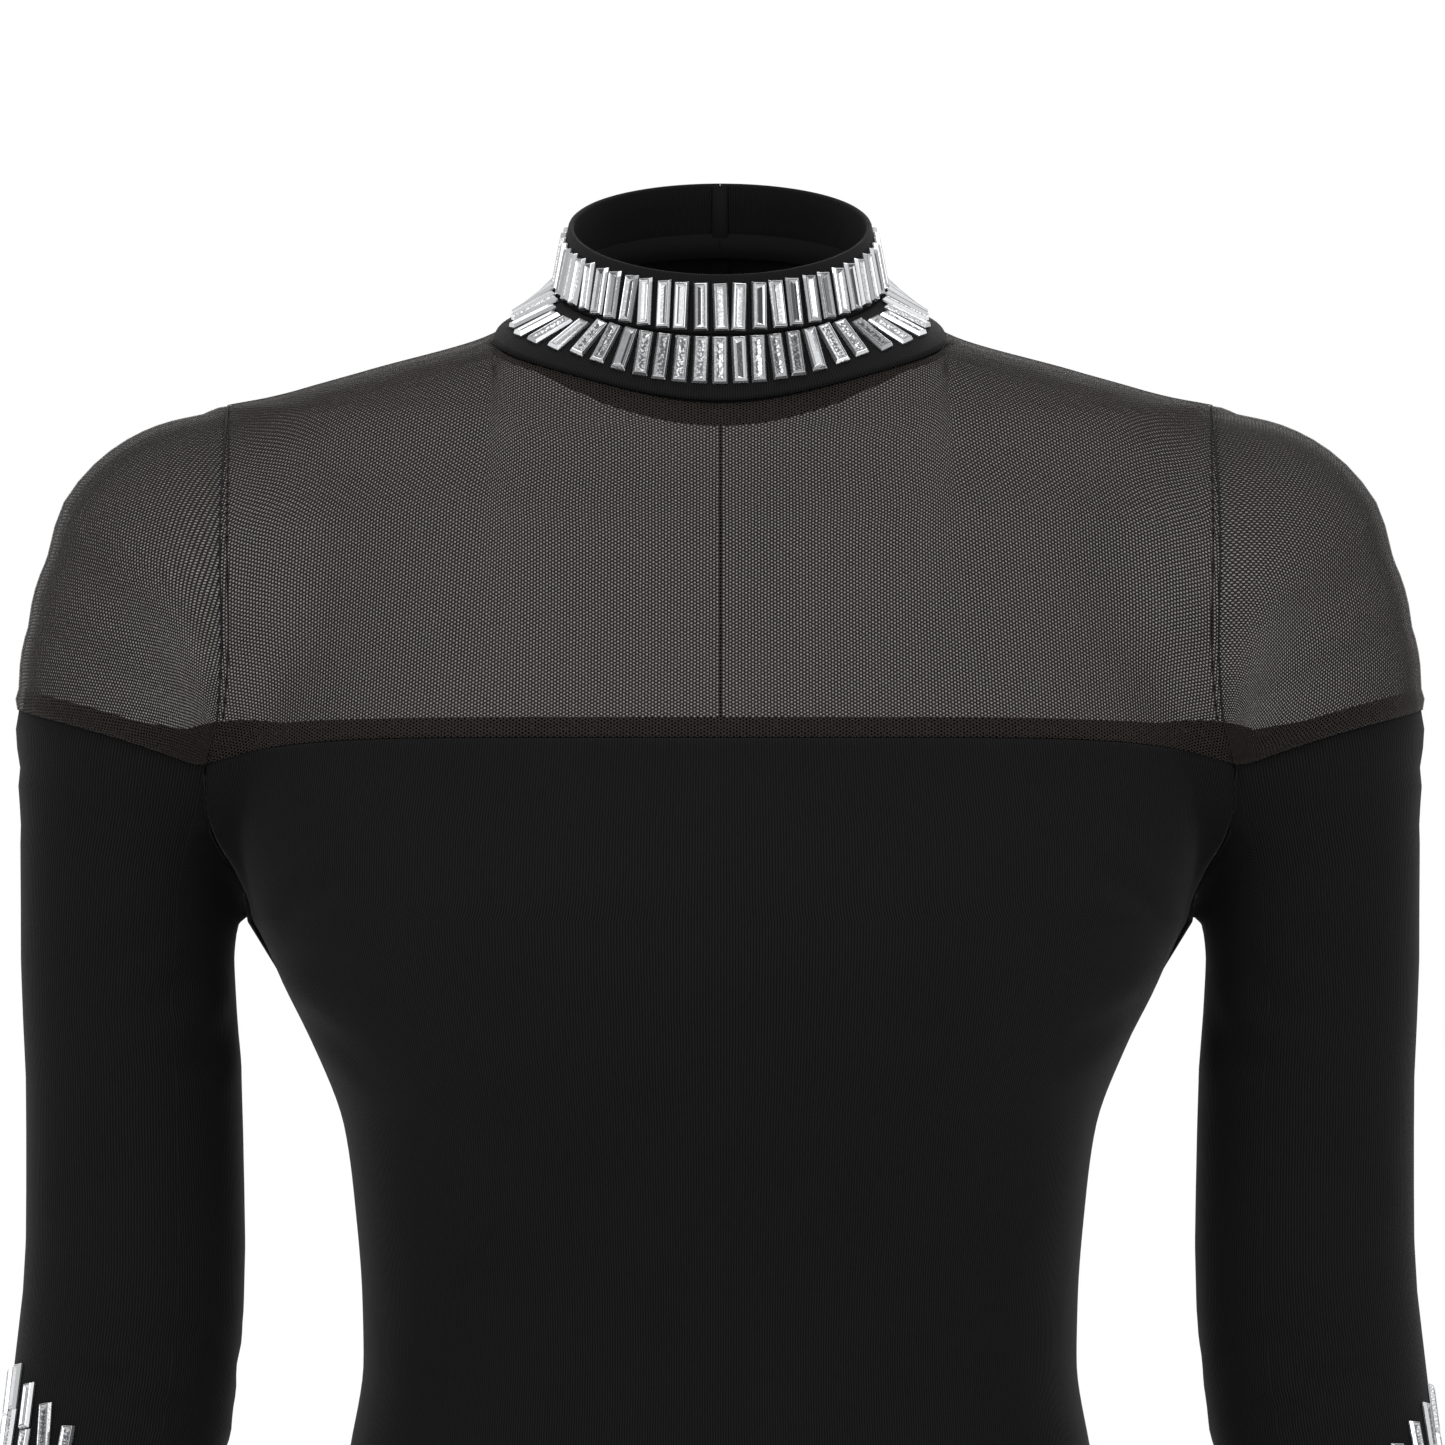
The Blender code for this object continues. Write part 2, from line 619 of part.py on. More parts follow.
def sleeve(name, parts, look, collection):
    """A jersey sleeve. Staggered stones stand on its forearm, in columns that start lower the further round."""
    top_rings, upper, forearm = sleeve_rings(parts)
    plain = np.vstack([top_rings, upper])
    grid = np.vstack([plain, forearm])
    normals = outward(grid)
    line = unit(np.roll(grid[0], -1, axis=0) - np.roll(grid[0], 1, axis=0))
    grid[0] += step_in(grid[0], grid[1], line)
    columns, first = grid.shape[1], len(plain)
    peak = SLEEVE_OUTER_CELLS // 2 - 1
    last = len(grid) - 1
    bm = bmesh.new()
    kept = {}
    for j in range(columns):
        nearest = min(abs(j - peak), abs(j - 1 - peak))
        fine = nearest <= STONE_COLUMNS
        for i in range(last + 1):
            if i <= first or fine or (i - first) % COARSE == 0 or i == last:
                kept[i, j] = bm.verts.new(grid[i, j])
    coarse = [i for i in range(last + 1) if i <= first or (i - first) % COARSE == 0 or i == last]
    inner = {
        (i, j): bm.verts.new(grid[i, j] - JERSEY_WALL * normals[i, j])
        for i in coarse
        for j in range(columns)
    }

    def cell(j, i, stop):
        """One cell of column j between two rings, with every point that its two lines hold."""
        k = (j + 1) % columns
        left = [kept[row, j] for row in range(i, stop + 1) if (row, j) in kept]
        right = [kept[row, k] for row in range(i, stop + 1) if (row, k) in kept]
        return left, right

    for j in range(columns):
        k = (j + 1) % columns
        for above, below in zip(coarse, coarse[1:]):
            bm.faces.new((inner[above, j], inner[above, k], inner[below, k], inner[below, j]))
        for i in (0, last):
            rim_cell(bm, (kept[i, j], kept[i, k]), (inner[i, j], inner[i, k]))
        column = abs(j - peak)
        start = first + 1 + column
        stops = list(range(first + 1))
        if column <= STONE_COLUMNS:
            stops += [start, *range(start + 2, last, 2), last]
        else:
            stops += [i for i in coarse if i > first]
        for above, below in zip(stops, stops[1:]):
            left, right = cell(j, above, below)
            if column > STONE_COLUMNS or above < start or below - above < 2:
                bm.faces.new(left + right[::-1])
                continue
            corners = [grid[below, j], grid[below, k], grid[above, k], grid[above, j]]
            sides = [
                (left[-1], right[-1]),
                tuple(right[::-1]),
                (right[0], left[0]),
                tuple(left),
            ]
            stone(bm, sides, corners)
    return finish(bm, name, look, collection)


def other_side(thing, name, collection):
    """The same piece on the other side of the dress. It shares the mesh."""
    made = bpy.data.objects.new(name, thing.data)
    made.scale.x = -1
    collection.objects.link(made)
    return made


def sleeve_cap(name, parts, look, collection):
    """Net over the shoulder, between the armhole and the sleeve seam. It narrows to both junctions."""
    high = np.vstack([parts["front_high"][::-1], parts["back_high"][1:]])
    low = sleeve_seam(parts)
    for edge in (high, low):
        for end, beside in ((0, 1), (-1, -2)):
            edge[end] += CAP_TRIM * unit(edge[beside] - edge[end])
    ways = np.linspace(0, 1, CAP_ROWS)[:, None]
    left = high[0] * (1 - ways) + low[0] * ways
    right = high[-1] * (1 - ways) + low[-1] * ways
    grid = eased(coons(high, low, left, right))
    return panel(name, grid, NET_WALL, look, collection)


def block(size, middle):
    """A box as a loose mesh, sized and placed about the piece's own origin."""
    bm = bmesh.new()
    sized = Matrix.Translation(middle) @ Matrix.Diagonal((*size, 1.0))
    bmesh.ops.create_cube(bm, size=1.0, matrix=sized)
    return bm


def placed(thing, origin, tilt):
    """Puts a zip piece on the back: its -Z runs down the seam and its +Y stands off the cloth."""
    thing.location = origin
    thing.rotation_euler.x = tilt
    return thing


def shaped(thing, operation, helper):
    change = thing.modifiers.new(operation.lower(), "BOOLEAN")
    change.operation = operation
    change.object = helper
    helper.hide_render = True
    helper.display_type = "WIRE"


def zip_pieces(seam, look, collection, helpers):
    """The slider at the top of the centre back seam, and the pull tab that hangs from its staple."""
    start, down = seam[0], unit(seam[1] - seam[0])
    tilt = math.atan2(down[1], -down[2])
    out = np.array([0.0, math.cos(tilt), math.sin(tilt)])
    origin = start + SLIDER_DROP * down
    top = SLIDER_GAP + SLIDER[1]
    staple = (STAPLE_WIDTH, STAPLE_ROOM[1] + STAPLE_BAR, STAPLE_ROOM[0] + 2 * STAPLE_BAR)
    body = finish(block(SLIDER, (0, top - SLIDER[1] / 2, 0)), "zip_slider", look, collection)
    rounded = body.modifiers.new("edges", "BEVEL")
    rounded.width = SLIDER_EDGE
    rounded.segments = 2
    arch = finish(block(staple, (0, top + staple[1] / 2 - SINK, 0)), "staple_block", look, helpers)
    window = (4 * STAPLE_WIDTH, STAPLE_ROOM[1], STAPLE_ROOM[0])
    gap = finish(block(window, (0, top + window[1] / 2 + SINK, 0)), "staple_window", look, helpers)
    shaped(body, "UNION", placed(arch, origin, tilt))
    shaped(body, "DIFFERENCE", placed(gap, origin, tilt))
    placed(body, origin, tilt)

    hinge = origin + (top + SINK + STAPLE_ROOM[1] / 2) * out
    tip = np.array([0.0, *tip_place(seam, SLIDER_DROP + PULL[2] - PULL[1])])
    along = unit(tip - hinge)
    swing = math.atan2(along[1], -along[2])
    bm = block(PULL, (0, 0, PULL[1] / 2 - PULL[2] / 2))
    low = [
        edge
        for edge in bm.edges
        if abs(edge.verts[0].co.y - edge.verts[1].co.y) > PULL[1] / 2 and edge.verts[0].co.z < 0
    ]
    bmesh.ops.bevel(bm, geom=low, offset=PULL[0] * 0.46, segments=5, affect="EDGES", profile=0.5)
    tab = finish(bm, "zip_pull", look, collection)
    eye = (PULL_HOLE[0], 4 * PULL[1], PULL_HOLE[1])
    hole = finish(block(eye, (0, 0, -PULL[1] / 2 - PULL_HOLE[1] / 2)), "pull_hole", look, helpers)
    shaped(tab, "DIFFERENCE", placed(hole, hinge, swing))
    placed(tab, hinge, swing)


def tip_place(seam, along):
    """Where the tab's tip lies: a point along the seam, moved off the cloth."""
    length = np.concatenate([[0], np.cumsum(np.linalg.norm(np.diff(seam, axis=0), axis=1))])
    k = int(np.searchsorted(length, along)) - 1
    way = unit(seam[k + 1] - seam[k])
    point = seam[k] + (along - length[k]) * way
    return point[1] - PULL_TIP_GAP * way[2], point[2] + PULL_TIP_GAP * way[1]


def main():
    for thing in list(bpy.data.objects):
        bpy.data.objects.remove(thing)
    helpers = bpy.data.collections.new("cutters")
    bpy.context.scene.collection.children.link(helpers)
    dress = bpy.data.collections.new("long_sleeve_dress")
    bpy.context.scene.collection.children.link(dress)
    jersey = material("black_jersey", (0.011, 0.011, 0.012), 0.85)
    net = material("black_net", (0.040, 0.034, 0.030), 0.8)
    metal = material("black_metal", (0.030, 0.030, 0.032), 0.35, 1.0)
    band = material("ribbed_band", (0.010, 0.010, 0.011), 0.7)

    parts = split_armhole()
    front, back = jersey_grids(parts)
    yoke_front, yoke_back = yoke_grids(parts, front[0], back[0])

    panel("front_panel", front, JERSEY_WALL, jersey, dress, bottom=False)
    half_back = panel("back_panel_right", back, JERSEY_WALL, jersey, dress, bottom=False)
    other_side(half_back, "back_panel_left", dress)
    panel("yoke_front", yoke_front, NET_WALL, net, dress)
    half_yoke = panel("yoke_back_right", yoke_back, NET_WALL, net, dress)
    other_side(half_yoke, "yoke_back_left", dress)
    cap = sleeve_cap("sleeve_cap_right", parts, net, dress)
    other_side(cap, "sleeve_cap_left", dress)
    arm = sleeve("sleeve_right", parts, jersey, dress)
    other_side(arm, "sleeve_left", dress)
    collar_band("collar_upper", groove_ring(SEAM), top_ring, UPPER_STONES, UPPER_MARGIN, band, dress)
    collar_band("collar_lower", rim_ring, groove_ring(-SEAM), LOWER_STONES, LOWER_MARGIN, band, dress)
    zip_pieces(yoke_back[:, -1], metal, dress, helpers)


main()
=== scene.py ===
"""Looks of the long sleeve dress: fine cloth shells, net, ribbed collar, stones, stitching and zip.

Metres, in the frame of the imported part. The cloth follows the same figure and the same seam lines as the part.
"""

import math

import bpy
import numpy as np
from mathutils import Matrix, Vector


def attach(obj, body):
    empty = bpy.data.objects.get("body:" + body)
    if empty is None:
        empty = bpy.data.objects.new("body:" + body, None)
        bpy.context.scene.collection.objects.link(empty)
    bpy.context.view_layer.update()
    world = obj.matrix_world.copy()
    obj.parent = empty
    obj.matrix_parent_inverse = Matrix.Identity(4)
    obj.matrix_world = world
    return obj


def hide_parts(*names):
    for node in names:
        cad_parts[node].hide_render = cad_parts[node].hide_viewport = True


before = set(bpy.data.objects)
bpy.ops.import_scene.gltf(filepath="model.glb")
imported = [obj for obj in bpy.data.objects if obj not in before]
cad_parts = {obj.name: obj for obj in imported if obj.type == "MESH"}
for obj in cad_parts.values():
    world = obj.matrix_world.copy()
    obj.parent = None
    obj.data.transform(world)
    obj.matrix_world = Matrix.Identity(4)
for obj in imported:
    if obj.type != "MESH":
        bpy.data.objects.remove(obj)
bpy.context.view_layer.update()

# Camera: the photograph's frame is 0.477 m wide at the sides of the body
PHOTO_PIXELS = 1445
PIXEL = 0.00033
PHOTO_MIDDLE = (0.0008, -0.1282)
CAMERA_AWAY = 8.0
SENSOR = 36.0
FLOOR_RADIUS = 3.2
FLOOR_Z = -1.36

# Figure, with the values of the part
SIDE_Y = 0.004
TORSO = (
    (0.030, 0.052, 0.054, 0.058, 2.0),
    (0.012, 0.058, 0.056, 0.063, 2.0),
    (0.000, 0.0755, 0.057, 0.065, 2.0),
    (-0.012, 0.1166, 0.058, 0.068, 2.0),
    (-0.021, 0.1468, 0.060, 0.071, 2.0),
    (-0.026, 0.1575, 0.062, 0.073, 2.1),
    (-0.040, 0.1660, 0.067, 0.078, 2.2),
    (-0.060, 0.1670, 0.075, 0.083, 2.3),
    (-0.100, 0.1670, 0.085, 0.090, 2.4),
    (-0.133, 0.1660, 0.093, 0.092, 2.4),
    (-0.160, 0.1620, 0.103, 0.092, 2.4),
    (-0.190, 0.1540, 0.114, 0.091, 2.4),
    (-0.215, 0.1440, 0.119, 0.090, 2.3),
    (-0.234, 0.1345, 0.118, 0.088, 2.3),
    (-0.262, 0.1240, 0.110, 0.084, 2.2),
    (-0.285, 0.1208, 0.101, 0.080, 2.2),
    (-0.318, 0.1182, 0.093, 0.075, 2.1),
    (-0.338, 0.1178, 0.091, 0.074, 2.1),
    (-0.366, 0.1220, 0.092, 0.078, 2.1),
    (-0.400, 0.1290, 0.094, 0.088, 2.1),
    (-0.450, 0.1450, 0.099, 0.102, 2.1),
    (-0.500, 0.1610, 0.103, 0.112, 2.1),
    (-0.545, 0.1680, 0.104, 0.114, 2.1),
    (-0.620, 0.1670, 0.104, 0.109, 2.1),
    (-0.710, 0.1620, 0.102, 0.100, 2.1),
    (-0.890, 0.1490, 0.094, 0.088, 2.1),
)
ARM = (
    (0.000, 0.1660, 0.004, -0.0856, 0.0590),
    (0.045, 0.1824, 0.004, -0.120, 0.0498),
    (0.090, 0.1957, 0.004, -0.165, 0.0354),
    (0.130, 0.1957, 0.0045, -0.205, 0.0352),
    (0.175, 0.1935, 0.005, -0.250, 0.0357),
    (0.229, 0.1930, 0.004, -0.304, 0.0363),
    (0.262, 0.1956, 0.003, -0.337, 0.0368),
    (0.350, 0.2080, -0.022, -0.421, 0.0350),
    (0.509, 0.2290, -0.064, -0.573, 0.0280),
    (0.545, 0.2337, -0.0733, -0.6075, 0.0265),
)
ARM_STEPS = 30
BLEND = 0.014
START = 0.008
SLOPE_STEP = 2e-4
ARMHOLE_TURNS = 721
ROW_TURNS = 61
NECK_Y = 0.002
NECKLINE = (-0.0235, 0.0028, 0.0080)
GROOVE = (-0.0010, 0.0150, 0.0300)
COLLAR_TOP = (0.0190, 0.0360, 0.0510)
GROOVE_RADIUS = 0.0540
TOP_RADIUS = 0.0500
RIM_RISE = 0.0010
RIM_LIFT = 0.0007
CLOSED_SLIT = 0.00006
BAND_WALL = 0.0020
BEHIND_BAND = BAND_WALL + 0.0003
ARMHOLE = (
    (-0.230, 0.1500),
    (-0.200, 0.1546),
    (-0.190, 0.1554),
    (-0.178, 0.1600),
    (-0.165, 0.1670),
    (-0.154, 0.1693),
    (-0.142, 0.1690),
    (-0.125, 0.1648),
    (-0.100, 0.1635),
    (-0.070, 0.1640),
    (-0.020, 0.1622),
)
ARMHOLE_MIDDLE = (SIDE_Y, -0.108)
JUNCTION_Z = -0.142
NET_SEAM_Z = -0.133
SLEEVE_SEAM_Z = -0.124
HEM_Z = -0.890
FIRST_RING = 0.148
CUFF = 0.508
CAP_TRIM = 0.0006

# Fineness of the shells
ARMHOLE_STEPS = 24
BODY_STEP = 0.0042
ACROSS = 121
YOKE_DOWN = 46
CAP_DOWN = 30
SHOULDER_STEPS = 30
SLEEVE_OVER = 56
SLEEVE_UNDER = 2 * ARMHOLE_STEPS
RING_STEP = 0.0034
NEAR_EDGE = (0.0, 0.0008, 0.0020)

# Cloth: thickness, and how deep its seams dip
CLOTH = {"jersey": (0.0008, 0.0006), "net": (0.00025, 0.0003)}
BESIDE = 0.00008
SEAM_REACH = 0.0015
SWELL = 0.0012
SWELL_PLACE = 0.0035
SWELL_REACH = 0.0030
HEM_TURN = 0.022
CUFF_TURN = 0.018
TURN_ROUND = 0.0006
WALE = 0.00093
LOOP = 0.0007
NET_PITCH = 0.00122
NET_WANDER = (0.00035, 0.00035, 0.0)
NET_THREAD = (0.0078, 0.0054, 0.0042)
# Colour of the net's face that looks inward: a painted warm light, as if a lit figure were inside
NET_INSIDE_PAINTED_LIGHT = (0.0600, 0.0350, 0.0220)
NET_HOLE = (0.2, 0.9)
NET_COVER = (1.0, 0.02)
BACK_COVER = (0.55, 0.46)
BACK_FADE = (-0.012, 0.016)
ALLOWANCE_DEPTH = 0.0017
TURNING_ROWS = 6
CORD = (0.0007, 0.0003)
STITCH_PITCH = 0.0030
STITCH = 0.0022
STITCH_WIDE = 0.00045
STITCH_RISE = 0.00008
STITCH_BOW = 0.00012
STITCHED_ROWS = (-5, -6)
RIB = 0.00082

# Stones
STONE = (0.0050, 0.0162)
STONE_RIM = 0.00055
STONE_LEDGE = 0.00035
STONE_BEVEL = 0.00012
STONE_LIFT = 0.00005
STONE_GIRDLE = 0.0007
STONE_TOP = 0.0019
STONE_STEP = 0.0009
STONE_ROOF = 0.0005
FOILED = 0.5
UPPER_PITCH = math.radians(6.92)
LOWER_PITCH = math.radians(6.43)
UPPER_SIDE = 25
LOWER_SIDE = 27
UPPER_MARGIN = 0.0006
LOWER_MARGIN = 0.0070
EDGE_ROOM = 0.0004
COLLAR_SLIP = 0.35
COLLAR_LEAN = 3
COLLAR_TIP = (0.035, 0.03)
SLEEVE_SLIP = 0.8
SLEEVE_LEAN = 5


# Figure functions


def curve(rows, column, x):
    """Reads one column of a table at x, smoothly and with no overshoot."""
    table = np.array(sorted(rows), float)
    xs, ys = table[:, 0], table[:, column]
    step = np.diff(xs)
    slope = np.diff(ys) / step
    before, after = slope[:-1], slope[1:]
    total = before + after
    tangent = np.zeros(len(xs))
    rising = before * after > 0
    tangent[1:-1][rising] = 2 * before[rising] * after[rising] / total[rising]
    tangent[0], tangent[-1] = slope[0], slope[-1]
    i = np.clip(np.searchsorted(xs, x) - 1, 0, len(xs) - 2)
    t = np.clip((x - xs[i]) / step[i], 0, 1)
    start = ys[i] * (1 + 2 * t) * (1 - t) ** 2 + tangent[i] * step[i] * t * (1 - t) ** 2
    end = ys[i + 1] * t * t * (3 - 2 * t) - tangent[i + 1] * step[i] * t * t * (1 - t)
    return start + end


def arm_point(along):
    return np.stack([curve(ARM, column, along) for column in (1, 2, 3, 4)], axis=1)


ARM_CHAIN = arm_point(np.linspace(0, ARM[-1][0], ARM_STEPS))
TORSO_Z = np.linspace(TORSO[-1][0] - 0.02, TORSO[0][0], 4001)
TORSO_FINE = [curve(TORSO, column, TORSO_Z) for column in (1, 2, 3, 4)]


def torso_reach(p):
    x, y, z = p.T
    y = y - SIDE_Y
    half, fore, rear, power = (np.interp(z, TORSO_Z, column) for column in TORSO_FINE)
    depth = np.where(y < 0, fore, rear)
    ring = (np.abs(x / half) ** power + np.abs(y / depth) ** power) ** (1 / power) + 1e-9
    return np.hypot(x, y) * (1 - 1 / ring)


def slope_of(field, p):
    sides = [(field(p + axis) - field(p - axis)) / (2 * SLOPE_STEP) for axis in SLOPE_STEP * np.eye(3)]
    return np.stack(sides, axis=1)


def torso(p):
    return torso_reach(p) / (np.linalg.norm(slope_of(torso_reach, p), axis=1) + 1e-9)


def arms(p):
    q = np.column_stack([np.abs(p[:, 0]), p[:, 1:]])
    best = np.full(len(q), 9.0)
    for start, end in zip(ARM_CHAIN[:-1], ARM_CHAIN[1:]):
        along = end[:3] - start[:3]
        away = q - start[:3]
        t = np.clip(away @ along / (along @ along), 0, 1)
        reach = np.linalg.norm(away - t[:, None] * along, axis=1)
        best = np.minimum(best, reach - start[3] - t * (end[3] - start[3]))
    return best


def figure(p):
    body, arm = torso(p), arms(p)
    near = np.maximum(BLEND - np.abs(body - arm), 0) / BLEND
    return np.minimum(body, arm) - near * near * BLEND / 4


def settled(points, rounds=3):
    p = points.reshape(-1, 3).copy()
    for _ in range(rounds):
        slope = slope_of(figure, p)
        move = (figure(p) / ((slope * slope).sum(1) + 1e-9))[:, None] * slope
        length = np.linalg.norm(move, axis=1, keepdims=True)
        p -= move * np.minimum(1, 0.01 / (length + 1e-12))
    return p.reshape(points.shape)


def first_crossing(path, count, far, steps=60):
    reach = np.linspace(START, far, steps)
    inside = np.stack([figure(path(np.full(count, t))) for t in reach], axis=1) < 0
    leave = np.argmax(~inside, axis=1)
    low, high = reach[np.maximum(leave - 1, 0)], reach[leave]
    for _ in range(14):
        middle = (low + high) / 2
        within = figure(path(middle)) < 0
        low, high = np.where(within, middle, low), np.where(within, high, middle)
    return path((low + high) / 2)


def lengths(points):
    return np.concatenate([[0], np.cumsum(np.linalg.norm(np.diff(points, axis=0), axis=1))])


def spaced(points, shares):
    """Reads a line again at the given shares of its length."""
    length = lengths(points)
    at = np.asarray(shares) * length[-1]
    return np.stack([np.interp(at, length, points[:, k]) for k in range(3)], axis=1)


def even(points, count):
    return spaced(points, np.linspace(0, 1, count))


def edged(count, length):
    """Even shares of a line, with closer ones beside its ends, which are seams."""
    near = np.array(NEAR_EDGE) / length
    middle = np.linspace(near[-1] * 2, 1 - near[-1] * 2, count - 2 * len(near))
    return np.concatenate([near, middle, 1 - near[::-1]])


def mirrored(points):
    return points * np.array([-1.0, 1.0, 1.0])


def both_sides(points):
    """The points on the right side, and their mirror image on the left."""
    return ("right", points), ("left", mirrored(points))


def unit(vectors):
    return vectors / (np.linalg.norm(vectors, axis=-1, keepdims=True) + 1e-12)


# Seam lines


def around_neck(levels, angle):
    front, side, back = levels
    swing = (front - back) / 2
    double = ((front + back) / 2 - side) / 2
    return (front + back) / 2 - double + swing * np.cos(angle) + double * np.cos(2 * angle)


def neck_way(angle):
    return np.stack([np.sin(angle), -np.cos(angle), np.zeros_like(angle)], axis=1)


def neckline(angle):
    middle = np.stack([0 * angle, 0 * angle + NECK_Y, around_neck(NECKLINE, angle)], axis=1)
    way = neck_way(angle)
    return first_crossing(lambda t: middle + t[:, None] * way, len(angle), 0.12)


NECK_SIDE = math.pi / 2 + math.atan((SIDE_Y - NECK_Y) / 0.07)


def armhole_loop():
    turn = np.radians(-90 - np.linspace(0, 360, ARMHOLE_TURNS))
    y0, z0 = ARMHOLE_MIDDLE

    def path(t):
        z = z0 + t * np.sin(turn)
        return np.stack([curve(ARMHOLE, 1, z), y0 + t * np.cos(turn), z], axis=1)

    return first_crossing(path, ARMHOLE_TURNS, 0.13, 120)


def split_armhole():
    loop = armhole_loop()
    top = int(np.argmax(loop[:, 2]))
    front = int(np.argmin(np.abs(loop[:top, 2] - JUNCTION_Z)))
    back = top + int(np.argmin(np.abs(loop[top:, 2] - JUNCTION_Z)))
    high = edged(YOKE_DOWN, 0.11)
    return {
        "front_low": even(loop[front::-1], ARMHOLE_STEPS + 1),
        "front_high": spaced(loop[top : front - 1 : -1], high),
        "back_high": spaced(loop[top : back + 1], high),
        "back_low": even(loop[back:], ARMHOLE_STEPS + 1),
    }


def body_rows(ends, middles, back, shares):
    """Rows of a torso panel, each from its end on the side to the same point on the other side."""
    half, y_end = ends[:, 0], ends[:, 1] - SIDE_Y
    first = np.maximum(np.arctan2(y_end if back else -y_end, half), 0)
    step = np.linspace(0, 1, ROW_TURNS)[None, 1:-1]
    turn = (first[:, None] * (1 - step) + (math.pi - first[:, None]) * step).ravel()
    way = 1 if back else -1
    wide, middle, end = (np.repeat(v, step.size) for v in (half, middles, ends[:, 2]))

    def path(t):
        x = t * np.cos(turn)
        z = middle + (end - middle) * np.minimum(np.abs(x / wide), 1) ** 7
        return np.stack([x, SIDE_Y + way * t * np.sin(turn), z], axis=1)

    between = first_crossing(path, len(turn), 0.19, 48).reshape(len(ends), step.size, 3)
    return np.array([spaced(np.vstack([end, line, mirrored(end)]), shares) for end, line in zip(ends, between)])


def shares_of(line):
    return lengths(line) / lengths(line)[-1]


def coons(top, bottom, left, right, like):
    """Fills the patch between four edges, its columns spaced as on the line like."""
    v = shares_of(left)[:, None, None]
    u = shares_of(like)[None, :, None]
    across = (1 - v) * top[None] + v * bottom[None]
    down = (1 - u) * left[:, None] + u * right[:, None]
    corners = (1 - u) * ((1 - v) * top[0] + v * bottom[0]) + u * ((1 - v) * top[-1] + v * bottom[-1])
    return across + down - corners


def shoulder_seam(top):
    neck = neckline(np.array([NECK_SIDE]))[0]
    x = np.linspace(top[0], neck[0], 49)[1:-1]
    y = np.linspace(top[1], neck[1], 49)[1:-1]
    line = first_crossing(lambda t: np.stack([x, y, -0.09 + t], axis=1), 47, 0.12)
    return np.vstack([top, line, neck])


def net_grids(parts, front_edge, back_edge):
    """Net of the front yoke, and of one half of the back."""
    seam = even(shoulder_seam(parts["front_high"][0]), SHOULDER_STEPS + 1)
    front_angles = np.linspace(NECK_SIDE, -NECK_SIDE, len(front_edge) - 2 * SHOULDER_STEPS)
    back_angles = np.linspace(NECK_SIDE, math.pi, len(back_edge) - SHOULDER_STEPS)
    top = np.vstack([seam[:-1], neckline(front_angles), mirrored(seam[-2::-1])])
    right = parts["front_high"]
    front = coons(top, front_edge, right, mirrored(right), front_edge)
    top = np.vstack([seam[:-1], neckline(back_angles)])
    z = np.interp(shares_of(right), (0, 1), (top[-1][2], back_edge[-1][2]))
    middle = first_crossing(lambda t: np.stack([0 * z, SIDE_Y + t, z], axis=1), len(z), 0.13)
    middle[0], middle[-1] = top[-1], back_edge[-1]
    back = coons(top, back_edge, parts["back_high"], middle, back_edge)
    return relaxed(front), relaxed(back), seam


def relaxed(grid, rounds=5):
    """Settles the inside of a grid on the figure and evens it a little. Its edges stay."""
    grid = grid.copy()
    grid[1:-1, 1:-1] = settled(grid[1:-1, 1:-1], 3)
    for _ in range(rounds):
        around = grid[:-2, 1:-1] + grid[2:, 1:-1] + grid[1:-1, :-2] + grid[1:-1, 2:]
        inner = grid[1:-1, 1:-1] * 0.5 + around / 8
        grid[1:-1, 1:-1] = settled(inner, 1)
    return grid


def jersey_grids(parts):
    """Front jersey panel, and the whole back."""
    side_bottom = parts["front_low"][-1][2]
    count = int((side_bottom - HEM_Z) / BODY_STEP)
    side_z = np.linspace(side_bottom, HEM_Z, count + 1)[1:]
    side = first_crossing(lambda t: np.stack([t, 0 * t + SIDE_Y, side_z], axis=1), count, 0.2)
    lift = (NET_SEAM_Z - JUNCTION_Z) * np.maximum(0, 1 - np.arange(count + ARMHOLE_STEPS + 1) / ARMHOLE_STEPS)
    shares = edged(ACROSS, 0.33)
    made = []
    for back, low in ((False, parts["front_low"]), (True, parts["back_low"])):
        ends = np.vstack([low, side])
        made.append(body_rows(ends, ends[:, 2] + lift, back, shares))
    return made


def sleeve_seam(parts):
    front, back = parts["front_high"][-1], parts["back_high"][-1]
    reach = math.radians(112)
    turn = np.linspace(reach, -reach, 121)
    z = SLEEVE_SEAM_Z + (JUNCTION_Z - SLEEVE_SEAM_Z) * (np.abs(turn) / reach) ** 1.7
    middle = arm_point(np.interp(-z, -np.array(ARM)[:, 3], np.array(ARM)[:, 0]))[:, :2]

    def path(t):
        x = middle[:, 0] + t * np.cos(turn)
        return np.stack([x, middle[:, 1] - t * np.sin(turn), z], axis=1)

    line = np.vstack([front, first_crossing(path, 121, 0.07), back])
    return even(line, SLEEVE_OVER + 1)


def on_arm(along, turn):
    """Points on the sleeve, at distances down the arm and turns from outward to the front."""
    middle = arm_point(along)[:, :3]
    down = unit(arm_point(along + 0.004)[:, :3] - arm_point(along - 0.004)[:, :3])
    side = unit(np.cross(down, np.array([0.0, 1.0, 0.0])))
    side = side * np.sign(side[:, :1])
    fore = np.cross(side, down)
    fore = fore * np.sign(-fore[:, 1:2])
    way = np.cos(turn)[:, None] * side + np.sin(turn)[:, None] * fore
    return first_crossing(lambda t: middle + t[:, None] * way, len(turn), 0.06)


